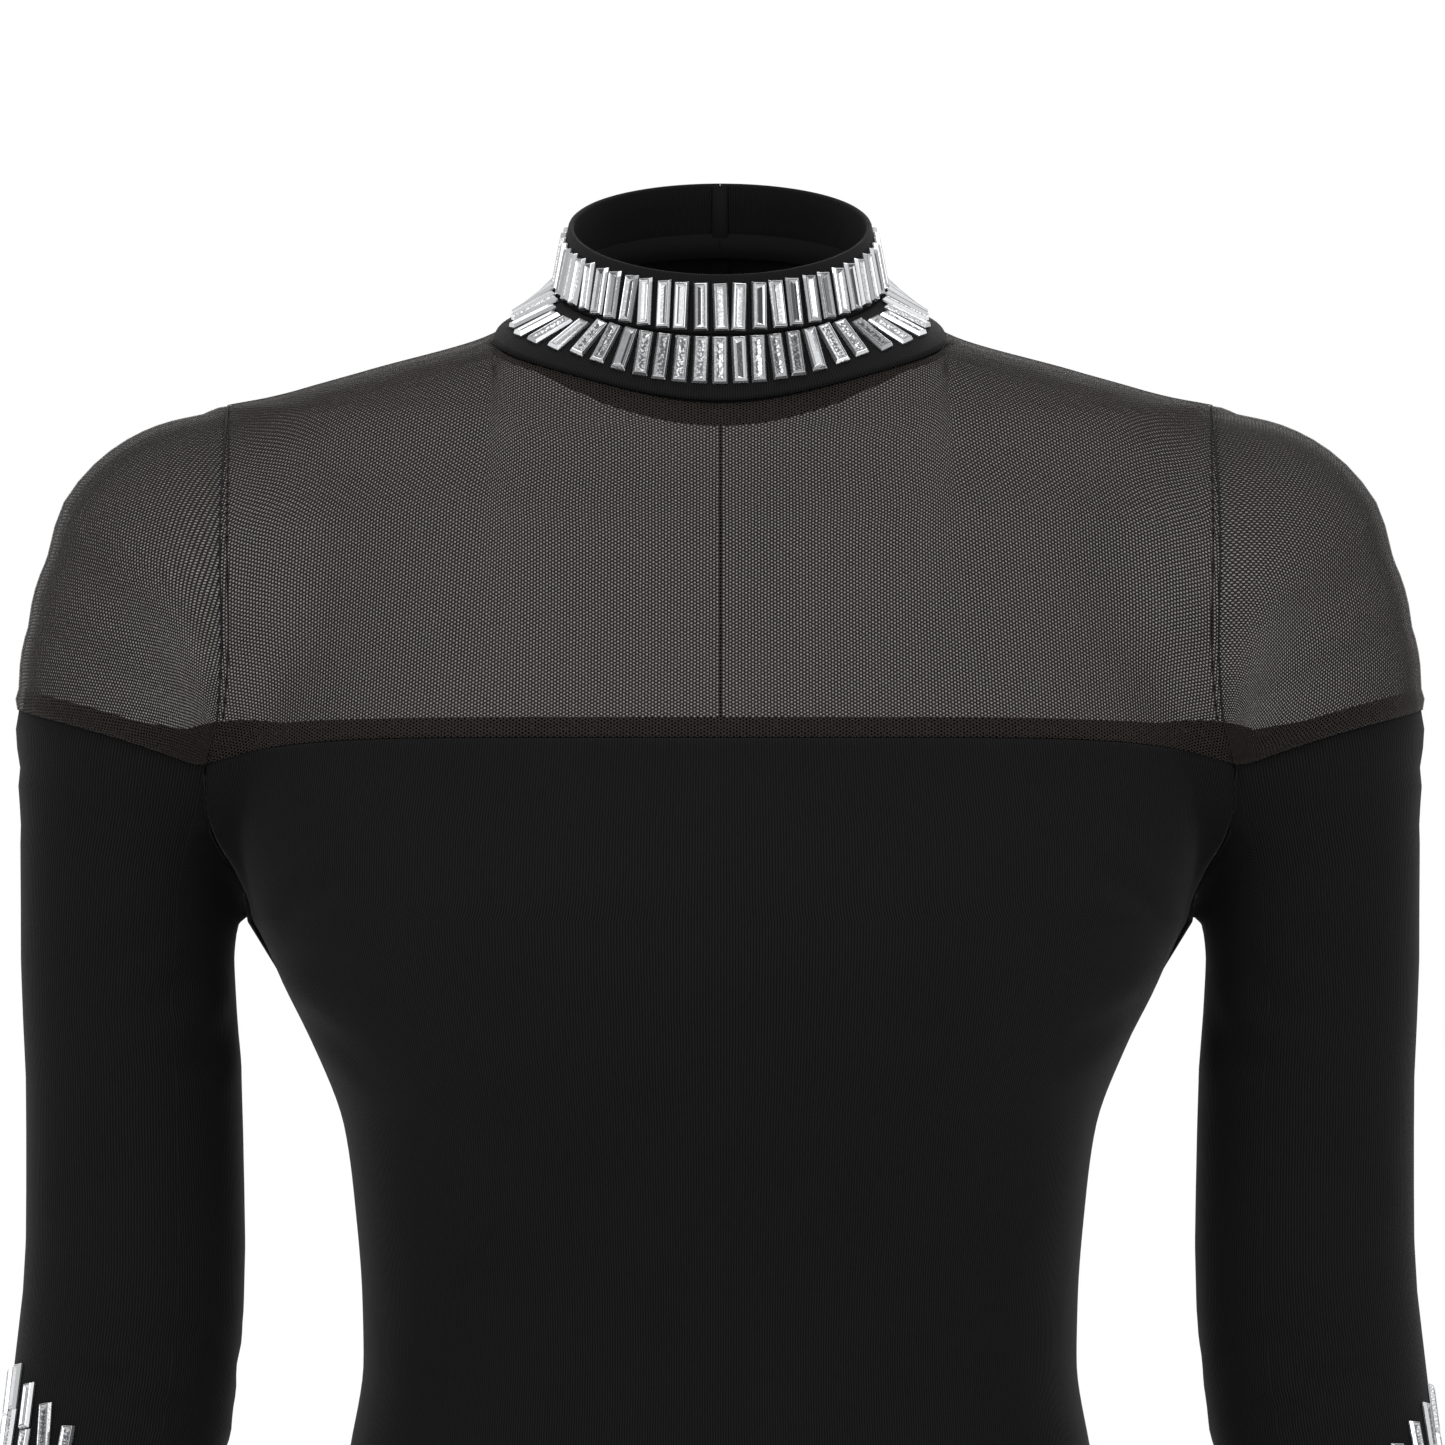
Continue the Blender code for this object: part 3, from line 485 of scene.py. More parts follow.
def sleeve_grid(parts):
    """Rings of the sleeve, closed round the arm, from its seams to the cuff."""
    under = np.vstack([parts["back_low"], parts["front_low"][-2::-1]])
    top = np.vstack([sleeve_seam(parts)[:-1], under[:-1]])
    cells = SLEEVE_OVER + SLEEVE_UNDER
    first = math.pi * 14 / 22
    over = np.linspace(first, -first, SLEEVE_OVER + 1)[:-1]
    below = np.linspace(-first, first - 2 * math.pi, SLEEVE_UNDER + 1)[:-1]
    turn = np.concatenate([over, below])
    count = int((CUFF - FIRST_RING) / RING_STEP)
    along = np.linspace(FIRST_RING, CUFF, count + 1)
    rings = on_arm(np.repeat(along, cells), np.tile(turn, count + 1)).reshape(count + 1, cells, 3)
    share = np.linspace(0, 1, 17)[:, None, None]
    upper = top[None] * (1 - share) + rings[0][None] * share
    upper[1:-1] = settled(upper[1:-1])
    return np.vstack([upper[:-1], rings])


def over_armhole(parts):
    return np.vstack([parts["front_high"][::-1], parts["back_high"][1:]])


def cap_grid(parts):
    high = over_armhole(parts)
    low = spaced(sleeve_seam(parts), shares_of(high))
    for edge in (high, low):
        for end, beside in ((0, 1), (-1, -2)):
            edge[end] += CAP_TRIM * unit(edge[beside] - edge[end])
    ways = np.linspace(0, 1, CAP_DOWN)[:, None]
    left = high[0] * (1 - ways) + low[0] * ways
    right = high[-1] * (1 - ways) + low[-1] * ways
    return relaxed(coons(high, low, left, right, high))


# Creases: which cloth, start and end of the line as (x, z) or (along, turn), sag of its middle, depth and width
BODY_CREASES = (
    ("front", 0.150, -0.196, 0.118, -0.176, 0.004, 0.0012, 0.0050),
    ("front", 0.149, -0.206, 0.112, -0.205, 0.003, 0.0010, 0.0060),
    ("front", 0.146, -0.214, 0.104, -0.236, -0.004, 0.0008, 0.0060),
    ("front", -0.151, -0.197, -0.121, -0.181, 0.003, 0.0011, 0.0050),
    ("front", -0.149, -0.208, -0.108, -0.213, 0.003, 0.0010, 0.0060),
    ("front", -0.145, -0.217, -0.111, -0.241, -0.003, 0.0007, 0.0060),
    ("front", 0.112, -0.322, 0.062, -0.334, -0.003, 0.0005, 0.0070),
    ("front", -0.113, -0.330, -0.058, -0.339, -0.003, 0.0005, 0.0070),
    ("front", 0.116, -0.365, 0.054, -0.392, 0.004, 0.0008, 0.0080),
    ("front", -0.117, -0.371, -0.049, -0.401, 0.005, 0.0009, 0.0080),
    ("front", 0.120, -0.430, 0.018, -0.452, -0.006, 0.0011, 0.0100),
    ("front", -0.128, -0.445, -0.030, -0.471, -0.007, 0.0010, 0.0100),
    ("front", 0.128, -0.520, 0.038, -0.566, -0.008, 0.0010, 0.0120),
    ("front", -0.131, -0.540, -0.022, -0.590, -0.008, 0.0011, 0.0120),
    ("back", 0.104, -0.330, 0.020, -0.341, -0.004, 0.0016, 0.0070),
    ("back", -0.107, -0.338, -0.016, -0.352, -0.005, 0.0015, 0.0070),
    ("back", 0.108, -0.358, 0.024, -0.368, -0.005, 0.0014, 0.0065),
    ("back", -0.101, -0.372, -0.028, -0.380, -0.004, 0.0012, 0.0065),
    ("back", 0.146, -0.203, 0.098, -0.196, 0.003, 0.0013, 0.0060),
    ("back", -0.147, -0.205, -0.101, -0.192, 0.003, 0.0013, 0.0060),
    ("back", 0.141, -0.222, 0.088, -0.238, -0.004, 0.0011, 0.0070),
    ("back", -0.142, -0.220, -0.092, -0.241, -0.004, 0.0010, 0.0070),
    ("back", 0.128, -0.612, 0.030, -0.634, -0.010, 0.0016, 0.0110),
    ("back", -0.124, -0.622, -0.034, -0.648, -0.010, 0.0015, 0.0110),
    ("back", 0.118, -0.668, 0.046, -0.690, -0.007, 0.0011, 0.0110),
)
SLEEVE_CREASES = (
    (0.269, 62, 0.275, 105, 0.005, 0.0016, 0.0034),
    (0.284, 78, 0.282, 140, 0.003, 0.0013, 0.0040),
    (0.256, 95, 0.262, 150, -0.003, 0.0009, 0.0040),
    (0.300, 66, 0.304, 118, -0.003, 0.0010, 0.0045),
    (0.262, 172, 0.268, 240, -0.004, 0.0010, 0.0045),
    (0.292, 165, 0.296, 232, -0.003, 0.0011, 0.0050),
    (0.130, 60, 0.118, 112, 0.004, 0.0010, 0.0050),
    (0.146, 86, 0.132, 142, 0.004, 0.0013, 0.0055),
    (0.166, 110, 0.152, 168, 0.003, 0.0011, 0.0060),
    (0.134, 246, 0.126, 300, 0.004, 0.0012, 0.0055),
    (0.158, 228, 0.150, 282, 0.004, 0.0010, 0.0060),
    (0.212, 40, 0.220, 88, -0.005, 0.0005, 0.0090),
    (0.346, 96, 0.352, 150, -0.004, 0.0008, 0.0060),
    (0.470, 70, 0.476, 150, -0.003, 0.0010, 0.0050),
    (0.484, 190, 0.489, 280, -0.003, 0.0011, 0.0050),
    (0.455, 214, 0.462, 262, -0.003, 0.0007, 0.0050),
)


def crease_shift(points, lines):
    """How far each point moves out: soft troughs along the lines, with a low ridge on each side."""
    flat = points.reshape(-1, 3)
    shift = np.zeros(len(flat))
    for line, depth, width in lines:
        best = np.full(len(flat), 9.0)
        place = np.zeros(len(flat))
        count = len(line) - 1
        for k in range(count):
            along = line[k + 1] - line[k]
            away = flat - line[k]
            t = np.clip(away @ along / (along @ along), 0, 1)
            reach = np.linalg.norm(away - t[:, None] * along, axis=1)
            nearer = reach < best
            best = np.where(nearer, reach, best)
            place = np.where(nearer, (k + t) / count, place)
        taper = np.sin(math.pi * np.clip(place, 0, 1)) ** 0.8
        trough = np.exp(-((best / width) ** 2))
        ridge = np.exp(-(((best - 1.9 * width) / width) ** 2))
        shift += depth * taper * (0.42 * ridge - trough)
    return shift.reshape(points.shape[:-1])


def sagging(start, end, sag, count=9):
    t = np.linspace(0, 1, count)[:, None]
    line = np.array(start) * (1 - t) + np.array(end) * t
    line[:, 1] += sag * np.sin(math.pi * t[:, 0])
    return line


def body_lines(face):
    way = 1.0 if face == "back" else -1.0
    rows = [row[1:] for row in BODY_CREASES if row[0] == face]
    x, z = np.vstack([sagging(row[:2], row[2:4], row[4]) for row in rows]).T
    out = first_crossing(lambda t: np.stack([x, SIDE_Y + way * t, z], axis=1), len(x), 0.15)
    return [(line, *row[5:]) for line, row in zip(out.reshape(len(rows), -1, 3), rows)]


def sleeve_lines(seed):
    """The sleeve's creases. Each sleeve has them a little elsewhere."""
    rng = np.random.default_rng(seed)
    flat, sizes = [], []
    for along0, turn0, along1, turn1, sag, depth, width in SLEEVE_CREASES:
        slip = rng.uniform(-1, 1, 5)
        start = (turn0 + 3 * slip[0], along0 + 0.002 * slip[1])
        end = (turn1 + 6 * slip[2], along1 + 0.003 * slip[3])
        flat.append(sagging(start, end, sag))
        sizes.append((depth * (1 + 0.2 * slip[4]), width))
    turn, along = np.vstack(flat).T
    out = on_arm(along, np.radians(turn)).reshape(len(flat), -1, 3)
    return [(line, *size) for line, size in zip(out, sizes)]


# Materials


def material(name, roughness, sheen=0.0, sheen_roughness=0.4, specular=0.5, coat=0.0, metallic=0.0):
    made = bpy.data.materials.new(name)
    made.use_nodes = True
    shader = made.node_tree.nodes["Principled BSDF"]
    settings = {
        "Roughness": roughness,
        "Sheen Weight": sheen,
        "Sheen Roughness": sheen_roughness,
        "Specular IOR Level": specular,
        "Coat Weight": coat,
        "Metallic": metallic,
    }
    for slot, value in settings.items():
        shader.inputs[slot].default_value = value
    return made, made.node_tree, shader


def node(tree, kind, links=None, **settings):
    made = tree.nodes.new(kind)
    for key, value in settings.items():
        setattr(made, key, value)
    for slot, source in (links or {}).items():
        if hasattr(source, "is_output"):
            tree.links.new(source, made.inputs[slot])
        else:
            made.inputs[slot].default_value = source
    return made


def maths(tree, operation, first, second=0.0, third=0.0):
    return node(tree, "ShaderNodeMath", {0: first, 1: second, 2: third}, operation=operation).outputs[0]


def cloth_place(tree):
    """The cloth's own coordinates: metres across and down the cut piece."""
    return node(tree, "ShaderNodeUVMap", uv_map="cloth").outputs["UV"]


def object_place(tree):
    return node(tree, "ShaderNodeTexCoord").outputs["Object"]


def parts_of(tree, vector):
    return node(tree, "ShaderNodeSeparateXYZ", {0: vector}).outputs


def noise(tree, place, scale, detail, output=0):
    return node(tree, "ShaderNodeTexNoise", {"Vector": place, "Scale": scale, "Detail": detail}).outputs[output]


def ranged(tree, value, low, high, first=0.0, last=1.0):
    links = {"Value": value, "From Min": low, "From Max": high, "To Min": first, "To Max": last}
    return node(tree, "ShaderNodeMapRange", links).outputs[0]


def ribs(tree, across, pitch):
    """Waves from 0 to 1, one for each pitch."""
    wave = maths(tree, "SINE", maths(tree, "MULTIPLY", across, 2 * math.pi / pitch))
    return maths(tree, "MULTIPLY_ADD", wave, 0.5, 0.5)


def ramp(tree, factor, *stops):
    made = node(tree, "ShaderNodeValToRGB", {"Fac": factor})
    for element, (place, colour) in zip(made.color_ramp.elements, stops):
        element.position = place
        element.color = (*colour, 1.0)
    return made.outputs["Color"]


def painted(tree, shader, factor, *stops):
    tree.links.new(ramp(tree, factor, *stops), shader.inputs["Base Color"])


def bumped(tree, shader, height, strength, distance, **over):
    """A bump on the shader, over the normal that is given."""
    links = {"Height": height, "Strength": strength, "Distance": distance, **over}
    normal = node(tree, "ShaderNodeBump", links).outputs[0]
    tree.links.new(normal, shader.inputs["Normal"])
    return normal


def jersey_material():
    """Fine ribbed jersey, its wales wandering a little: painted light on the wales and painted shade in the lines
    between them.
    """
    made, tree, shader = material("ribbed_jersey", 0.85, sheen=0.055, sheen_roughness=0.34, specular=0.10)
    place = cloth_place(tree)
    across, down, _ = parts_of(tree, place)
    wander = maths(tree, "MULTIPLY", maths(tree, "SUBTRACT", noise(tree, place, 55.0, 2.0), 0.5), 0.0006)
    rib = ribs(tree, maths(tree, "ADD", across, wander), WALE)
    loops = maths(tree, "SINE", maths(tree, "MULTIPLY", down, 2 * math.pi / LOOP))
    stretched = node(tree, "ShaderNodeMapping", {"Vector": place, "Scale": (1.0, 0.16, 1.0)}).outputs[0]
    uneven = maths(tree, "MULTIPLY_ADD", noise(tree, stretched, 1100.0, 2.0), 0.9, 0.45)
    level = maths(tree, "MULTIPLY", rib, uneven)
    level = maths(tree, "MULTIPLY_ADD", noise(tree, place, 26.0, 3.0), 0.18, level)
    # The base colour follows the rib height: painted shade in the grooves and painted light on the wales, times a
    # random tone
    painted(tree, shader, level, (0.05, (0.0001, 0.0001, 0.0001)), (0.9, (0.0062, 0.0062, 0.0065)))
    ribbed = bumped(tree, shader, maths(tree, "MULTIPLY_ADD", loops, 0.12, rib), 0.55, 0.00016)
    bumped(tree, shader, noise(tree, place, 34.0, 1.5), 0.35, 0.0012, Normal=ribbed)
    return made


def net_material(name, turned):
    """Stretch net with rows of staggered round holes, turned so many degrees on its piece.

    The back's net is more open, and the side of the net that faces inward has a lighter, warm painted light, as if
    a lit figure were inside."""
    made, tree, shader = material(name, 0.8, sheen=0.04, sheen_roughness=0.5, specular=0.2)
    place = cloth_place(tree)
    wander = noise(tree, place, 90.0, 1.0, "Color")
    offset = node(tree, "ShaderNodeVectorMath", {0: wander, 1: NET_WANDER}, operation="MULTIPLY").outputs[0]
    moved = node(tree, "ShaderNodeVectorMath", {0: place, 1: offset}, operation="ADD").outputs[0]
    turns = 4 * math.pi / (math.sqrt(3) * NET_PITCH)
    waves = []
    for degrees in (turned, turned + 60, turned + 120):
        way = (turns * math.cos(math.radians(degrees)), turns * math.sin(math.radians(degrees)), 0.0)
        along = node(tree, "ShaderNodeVectorMath", {0: moved, 1: way}, operation="DOT_PRODUCT")
        waves.append(maths(tree, "COSINE", along.outputs["Value"]))
    total = maths(tree, "ADD", maths(tree, "ADD", waves[0], waves[1]), waves[2])
    fore, back = (ranged(tree, total, *NET_HOLE, *cover) for cover in (NET_COVER, BACK_COVER))
    coords = node(tree, "ShaderNodeTexCoord").outputs
    depth = parts_of(tree, coords["Object"])[1]
    behind = ranged(tree, depth, *BACK_FADE)
    cover = node(tree, "ShaderNodeMix", {0: behind, 2: fore, 3: back}, data_type="FLOAT")
    tree.links.new(cover.outputs[0], shader.inputs["Alpha"])
    light = tuple(1.5 * c for c in NET_THREAD)
    colour = ramp(tree, noise(tree, place, 18.0, 2.0), (0.3, NET_THREAD), (0.75, light))
    # Faces that look inward take the painted warm light in place of the thread colour
    from_side = maths(tree, "SUBTRACT", depth, SIDE_Y)
    facing = maths(tree, "MULTIPLY", from_side, parts_of(tree, coords["Normal"])[1])
    inward = maths(tree, "LESS_THAN", facing, 0.0)
    both = node(tree, "ShaderNodeMix", {0: inward, 6: colour, 7: (*NET_INSIDE_PAINTED_LIGHT, 1.0)}, data_type="RGBA")
    tree.links.new(both.outputs[2], shader.inputs["Base Color"])
    bumped(tree, shader, total, 0.5, -0.0001)
    return made


def tape_material():
    """Folded cloth and tape on the inside, close and dark."""
    made, tree, shader = material("inside_tape", 0.85, sheen=0.02, specular=0.15)
    fleck = noise(tree, cloth_place(tree), 1500.0, 2.0)
    painted(tree, shader, fleck, (0.3, (0.0008, 0.0008, 0.0008)), (0.7, (0.0030, 0.0028, 0.0026)))
    bumped(tree, shader, fleck, 0.4, 0.0001)
    return made


def band_material():
    """Black band with fine ribs across it, with painted shade in the grooves between the ribs and painted light on
    their tops.
    """
    made, tree, shader = material("ribbed_band", 0.75, sheen=0.025, sheen_roughness=0.4, specular=0.12)
    place = cloth_place(tree)
    rib = ribs(tree, parts_of(tree, place)[0], RIB)
    level = maths(tree, "MULTIPLY", rib, maths(tree, "MULTIPLY_ADD", noise(tree, place, 700.0, 2.0), 0.8, 0.6))
    # The base colour follows the rib height: painted shade in the grooves, painted light on the ribs, times a
    # random tone
    painted(tree, shader, level, (0.1, (0.0001, 0.0001, 0.0001)), (1.0, (0.0050, 0.0050, 0.0052)))
    bumped(tree, shader, rib, 0.7, 0.0002)
    return made


def stone_material():
    """Clear glass over silver foil, cracked in places. The facets' painted reflections and shade, as levels, are
    in the mesh.
    """
    made, tree, shader = material("foiled_glass", 0.10, specular=0.6, coat=1.0, metallic=0.85)
    shader.inputs["Coat Roughness"].default_value = 0.03
    shade, cracks = (
        node(tree, "ShaderNodeAttribute", attribute_name=name).outputs["Fac"] for name in ("facet", "foil")
    )
    place = object_place(tree)
    cells = node(tree, "ShaderNodeTexVoronoi", {"Vector": place, "Scale": 1150.0}, feature="F1")
    cells = maths(tree, "MULTIPLY", cells.outputs["Distance"], 0.7)
    rough = maths(tree, "MULTIPLY_ADD", noise(tree, place, 900.0, 3.0), 0.8, cells)
    dark = maths(tree, "MULTIPLY", ranged(tree, rough, 0.62, 0.80), cracks)
    # The painted reflection level of each face, darkened where the foil is cracked
    level = maths(tree, "MULTIPLY", shade, maths(tree, "MULTIPLY_ADD", dark, -0.85, 1.0))
    painted(tree, shader, level, (0.0, (0.012, 0.012, 0.014)), (1.0, (0.92, 0.93, 0.95)))
    bumped(tree, shader, rough, 0.12, 0.0002)
    return made


def thread_material():
    made, tree, shader = material("black_thread", 0.7, sheen=0.04, specular=0.2)
    twist = noise(tree, object_place(tree), 2600.0, 1.0)
    painted(tree, shader, twist, (0.3, (0.0012, 0.0012, 0.0012)), (0.8, (0.0070, 0.0070, 0.0072)))
    bumped(tree, shader, twist, 0.4, 0.0001)
    return made


def metal_material():
    """Black enamel, worn a little to grey metal."""
    made, tree, shader = material("black_enamel", 0.32, specular=0.5, coat=0.4)
    wear = noise(tree, object_place(tree), 1400.0, 4.0)
    painted(tree, shader, wear, (0.55, (0.006, 0.006, 0.007)), (0.75, (0.10, 0.10, 0.10)))
    tree.links.new(ranged(tree, wear, 0.6, 0.75), shader.inputs["Metallic"])
    bumped(tree, shader, wear, 0.08, 0.0001)
    return made


# Pieces


def linked(name, data):
    made = bpy.data.objects.new(name, data)
    bpy.context.scene.collection.objects.link(made)
    return made


def worn(piece, replaced=None):
    """Puts a piece on the dress, in place of a CAD piece if one is named."""
    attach(piece, "dress")
    if replaced:
        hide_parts(replaced)
    return piece


def mesh_piece(name, points, faces, look, cloth=None, smooth=True):
    """Makes the object. cloth gives each point's place on its cut piece, or is a function that does."""
    mesh = bpy.data.meshes.new(name)
    mesh.from_pydata(np.asarray(points).tolist(), [], faces)
    if cloth is not None:
        layer = mesh.uv_layers.new(name="cloth")
        index = np.zeros(len(mesh.loops), np.int32)
        mesh.loops.foreach_get("vertex_index", index)
        places = cloth(index) if callable(cloth) else cloth[index]
        layer.data.foreach_set("uv", np.asarray(places, np.float32).ravel())
    if smooth:
        mesh.shade_smooth()
    mesh.materials.append(look)
    return linked(name, mesh)


def grid_faces(rows, columns, closed=False):
    """Faces of a grid, its last column joined to the first if it is closed."""
    faces = []
    wide = columns if closed else columns - 1
    for i in range(rows - 1):
        for j in range(wide):
            k = (j + 1) % columns
            faces.append((i * columns + j, (i + 1) * columns + j, (i + 1) * columns + k, i * columns + k))
    return faces


def tube_ends(rings, sides):
    last = (rings - 1) * sides
    return [tuple(range(sides))[::-1], tuple(last + k for k in range(sides))]


def as_strip(rows):
    """Points and faces of a strip that is given as its rows."""
    grid = np.array(rows)
    return grid.reshape(-1, 3), grid_faces(*grid.shape[:2])


def grid_normals(grid, closed=False):
    """Normals of a grid, taken from its own points."""
    down = np.gradient(grid, axis=0)
    if closed:
        across = np.roll(grid, -1, axis=1) - np.roll(grid, 1, axis=1)
    else:
        across = np.gradient(grid, axis=1)
    return unit(np.cross(down, across))


def facing_in(normals, points):
    """Whether the normals at these points mostly face into the figure."""
    return np.median((slope_of(figure, points) * normals).sum(1)) < 0


def edge_first(grid, edge):
    """A grid as seen from one of its edges (t, b, l or r), which is then its first row."""
    lines = grid if edge in "tb" else grid.swapaxes(0, 1)
    return lines if edge in "tl" else lines[::-1]


def steps_along(grid, axis):
    """Each point's distance from the grid's first row or column, along its own line."""
    first = grid[:1] if axis == 0 else grid[:, :1]
    return np.cumsum(np.linalg.norm(np.diff(grid, axis=axis, prepend=first), axis=2), axis=axis)


def away_from(grid, edge):
    away = np.zeros(grid.shape[:2])
    edge_first(away, edge)[:] = steps_along(edge_first(grid, edge), 0)
    return away


def thickened(piece, thick, offset=-1.0, even=False):
    solid = piece.modifiers.new("cloth", "SOLIDIFY")
    solid.thickness = thick
    solid.offset = offset
    solid.use_even_offset = even


def cloth_sheet(name, grid, cloth, look, kind, closed=False, dip="", lines=(), turn=0.0, swell=0.0):
    """A shell on the figure: creased, dipped at its seams, and turned in along its last row if asked.

    dip names the edges that are seams: any of t, b, l and r, in this order."""
    thick, deep = CLOTH[kind]
    normals = grid_normals(grid, closed)
    sparse = max(1, grid.size // 900)
    flip = facing_in(normals.reshape(-1, 3)[::sparse], grid.reshape(-1, 3)[::sparse])
    if flip:
        normals = -normals
    shift = crease_shift(grid, lines)
    for edge in dip:
        away = away_from(grid, edge)
        shift -= deep * np.exp(-((away / SEAM_REACH) ** 2))
        if edge == "b":
            shift += swell * np.exp(-(((away - SWELL_PLACE) / SWELL_REACH) ** 2))
    points = inset(grid + shift[:, :, None] * normals, dip)
    if turn:
        points, cloth = turned_in(points, cloth, normals, turn, thick)
    faces = grid_faces(*points.shape[:2], closed)
    if flip:
        faces = [face[::-1] for face in faces]
    piece = grid_piece(name, points, cloth, faces, look, closed)
    thickened(piece, thick, even=True)
    return piece


def grid_piece(name, points, cloth, faces, look, closed=False):
    """Makes a grid's object. The cloth's place round a closed grid runs on past its first column."""
    columns = points.shape[1]

    def places(index):
        uv = cloth[:, :columns].reshape(-1, 2)[index]
        if closed:
            column = index % columns
            face_columns = column.reshape(-1, 4)
            seam = (face_columns.max(1) == columns - 1) & (face_columns.min(1) == 0)
            wrap = np.repeat(seam, 4) & (column == 0)
            uv[wrap] = cloth[index[wrap] // columns, columns]
        return uv

    return mesh_piece(name, points.reshape(-1, 3), faces, look, places)


def inset(points, edges):
    """Draws the seam edges back a hair, so that neighbours stay apart."""
    for edge in edges:
        lines = edge_first(points, edge)
        lines[0] += BESIDE * unit(lines[1] - lines[0])
    return points


def turned_in(points, cloth, normals, turn, thick):
    """Adds the hem's turning: round the edge, then back up inside."""
    length = np.mean([lengths(points[:, j])[-1] for j in (0, points.shape[1] // 2)])
    step = length / (len(points) - 1)
    count = max(2, int(turn / step))
    extra, places = [], []
    down = unit(points[-1] - points[-2])
    for share, fall in ((0.5, TURN_ROUND), (1.1, 0.0)):
        extra.append(points[-1] - share * 2 * thick * normals[-1] + fall * down)
        places.append(cloth[-1] + np.array([0.0, TURN_ROUND * len(extra)]))
    for k in range(1, count + 1):
        extra.append(points[-1 - k] - 2.2 * thick * normals[-1 - k])
        places.append(cloth[-1] + np.array([0.0, 2.5 * TURN_ROUND + k * step]))
    return np.vstack([points, np.array(extra)]), np.vstack([cloth, np.array(places)])


def ring_of(grid, closed):
    return np.concatenate([grid, grid[:, :1]], axis=1) if closed else grid


def cloth_coordinates(grid, middle=None, closed=False, keep=0.5):
    """Metres across from the grain line and down from the top. Part of the stretch is kept, as in a knit."""
    ring = ring_of(grid, closed)
    across = steps_along(ring, 1)
    if middle is not None:
        across = across - across[:, middle : middle + 1]
    across = across * keep + across.mean(0, keepdims=True) * (1 - keep)
    down = steps_along(ring, 0)
    down = down * keep + down.mean(1, keepdims=True) * (1 - keep)
    return np.stack([across, -down], axis=2)


def area_of(grid, closed=False):
    ring = ring_of(grid, closed)
    a = ring[1:, 1:] - ring[:-1, :-1]
    b = ring[1:, :-1] - ring[:-1, 1:]
    return float(np.linalg.norm(np.cross(a, b), axis=2).sum() / 2)


def tube(line, ups, wide, high, sides=8):
    """A flat tube along a line, as points and faces."""
    ahead = unit(np.gradient(line, axis=0))
    across = unit(np.cross(ahead, ups))
    up = np.cross(across, ahead)
    turn = np.arange(sides) * 2 * math.pi / sides
    ring = [line + wide / 2 * math.cos(t) * across + high / 2 * math.sin(t) * up for t in turn]
    points = np.stack(ring, axis=1).reshape(-1, 3)
    return points, grid_faces(len(line), sides, True) + tube_ends(len(line), sides)


def joined(parts):
    """Puts several sets of points and faces together."""
    points, faces, start = [], [], 0
    for some, sides in parts:
        points.append(some)
        faces.extend(tuple(start + k for k in face) for face in sides)
        start += len(some)
    return np.vstack(points), faces


def stitches(line):
    """A row of machine stitches lying on the cloth along a line."""
    normals = unit(slope_of(figure, line))
    length = lengths(line)
    made = []
    for k in range(int(length[-1] / STITCH_PITCH)):
        at = k * STITCH_PITCH + np.array([0, STITCH / 2, STITCH])
        path = np.stack([np.interp(at, length, column) for column in line.T], axis=1)
        up = np.stack([np.interp(at, length, column) for column in normals.T], axis=1)
        path = path + (STITCH_RISE + np.array([0.0, STITCH_BOW, 0.0]))[:, None] * up
        made.append(tube(path, up, STITCH_WIDE, STITCH_WIDE, 6))
    return joined(made)


# Height of the turnings behind the net: place across the front and height over the seam
FRONT_TURNING = (
    (-0.165, 0.0085), (-0.120, 0.0070), (-0.092, 0.0067), (-0.057, 0.0073), (-0.045, 0.0060), (-0.034, 0.0031),
    (-0.022, 0.0017), (0.002, 0.0009), (0.025, 0.0013), (0.035, 0.0023), (0.043, 0.0048), (0.055, 0.0067),
    (0.067, 0.0073), (0.092, 0.0063), (0.125, 0.0070), (0.165, 0.0085),
)
TURNING = 0.0066
SIDE_TURNING = 0.0060
PATCH = 0.0060
PATCH_REACH = 0.0300
FACING = (0.0012, 0.0062)
FACING_REACH = math.radians(52)
TAPE_WIDTH = 0.0006
NECK_TAPE = 0.0018
ROUND_TAPE = (-0.0040, 0.0, 0.0040)
SLIT_TAPE = (-0.05, 0.0, 0.05)
LINING_THICK = 0.0004


def square_to(line, axis):
    """The way along the cloth that is square to a seam line and runs up the given axis."""
    way = np.cross(unit(slope_of(figure, line)), unit(np.gradient(line, axis=0)))
    return way * np.sign(way[:, axis : axis + 1])


def turning(name, line, ups, heights, look, start=-0.0012):
    """A strip on the inside of the cloth, from start on one side of a seam line to the given heights."""
    grid = []
    for share in np.arange(TURNING_ROWS) / (TURNING_ROWS - 1):
        points = settled(line + (share * (heights - start) + start)[:, None] * ups)
        grid.append(points - ALLOWANCE_DEPTH * unit(slope_of(figure, points)))
    grid = np.array(grid)
    faces = grid_faces(*grid.shape[:2])
    if facing_in(grid_normals(grid)[1], grid[1]):
        faces = [face[::-1] for face in faces]
    piece = grid_piece(name, grid, cloth_coordinates(grid, 0), faces, look)
    thickened(piece, CLOTH["net"][0])
    return worn(piece)


def seam_cord(name, line, look):
    ups = unit(slope_of(figure, line))
    return worn(mesh_piece(name, *tube(line - 0.00005 * ups, ups, *CORD), look))


def stitched(name, lines, look):
    """Rows of stitches along the lines."""
    return worn(mesh_piece(name, *joined(map(stitches, lines)), look))


# Stones


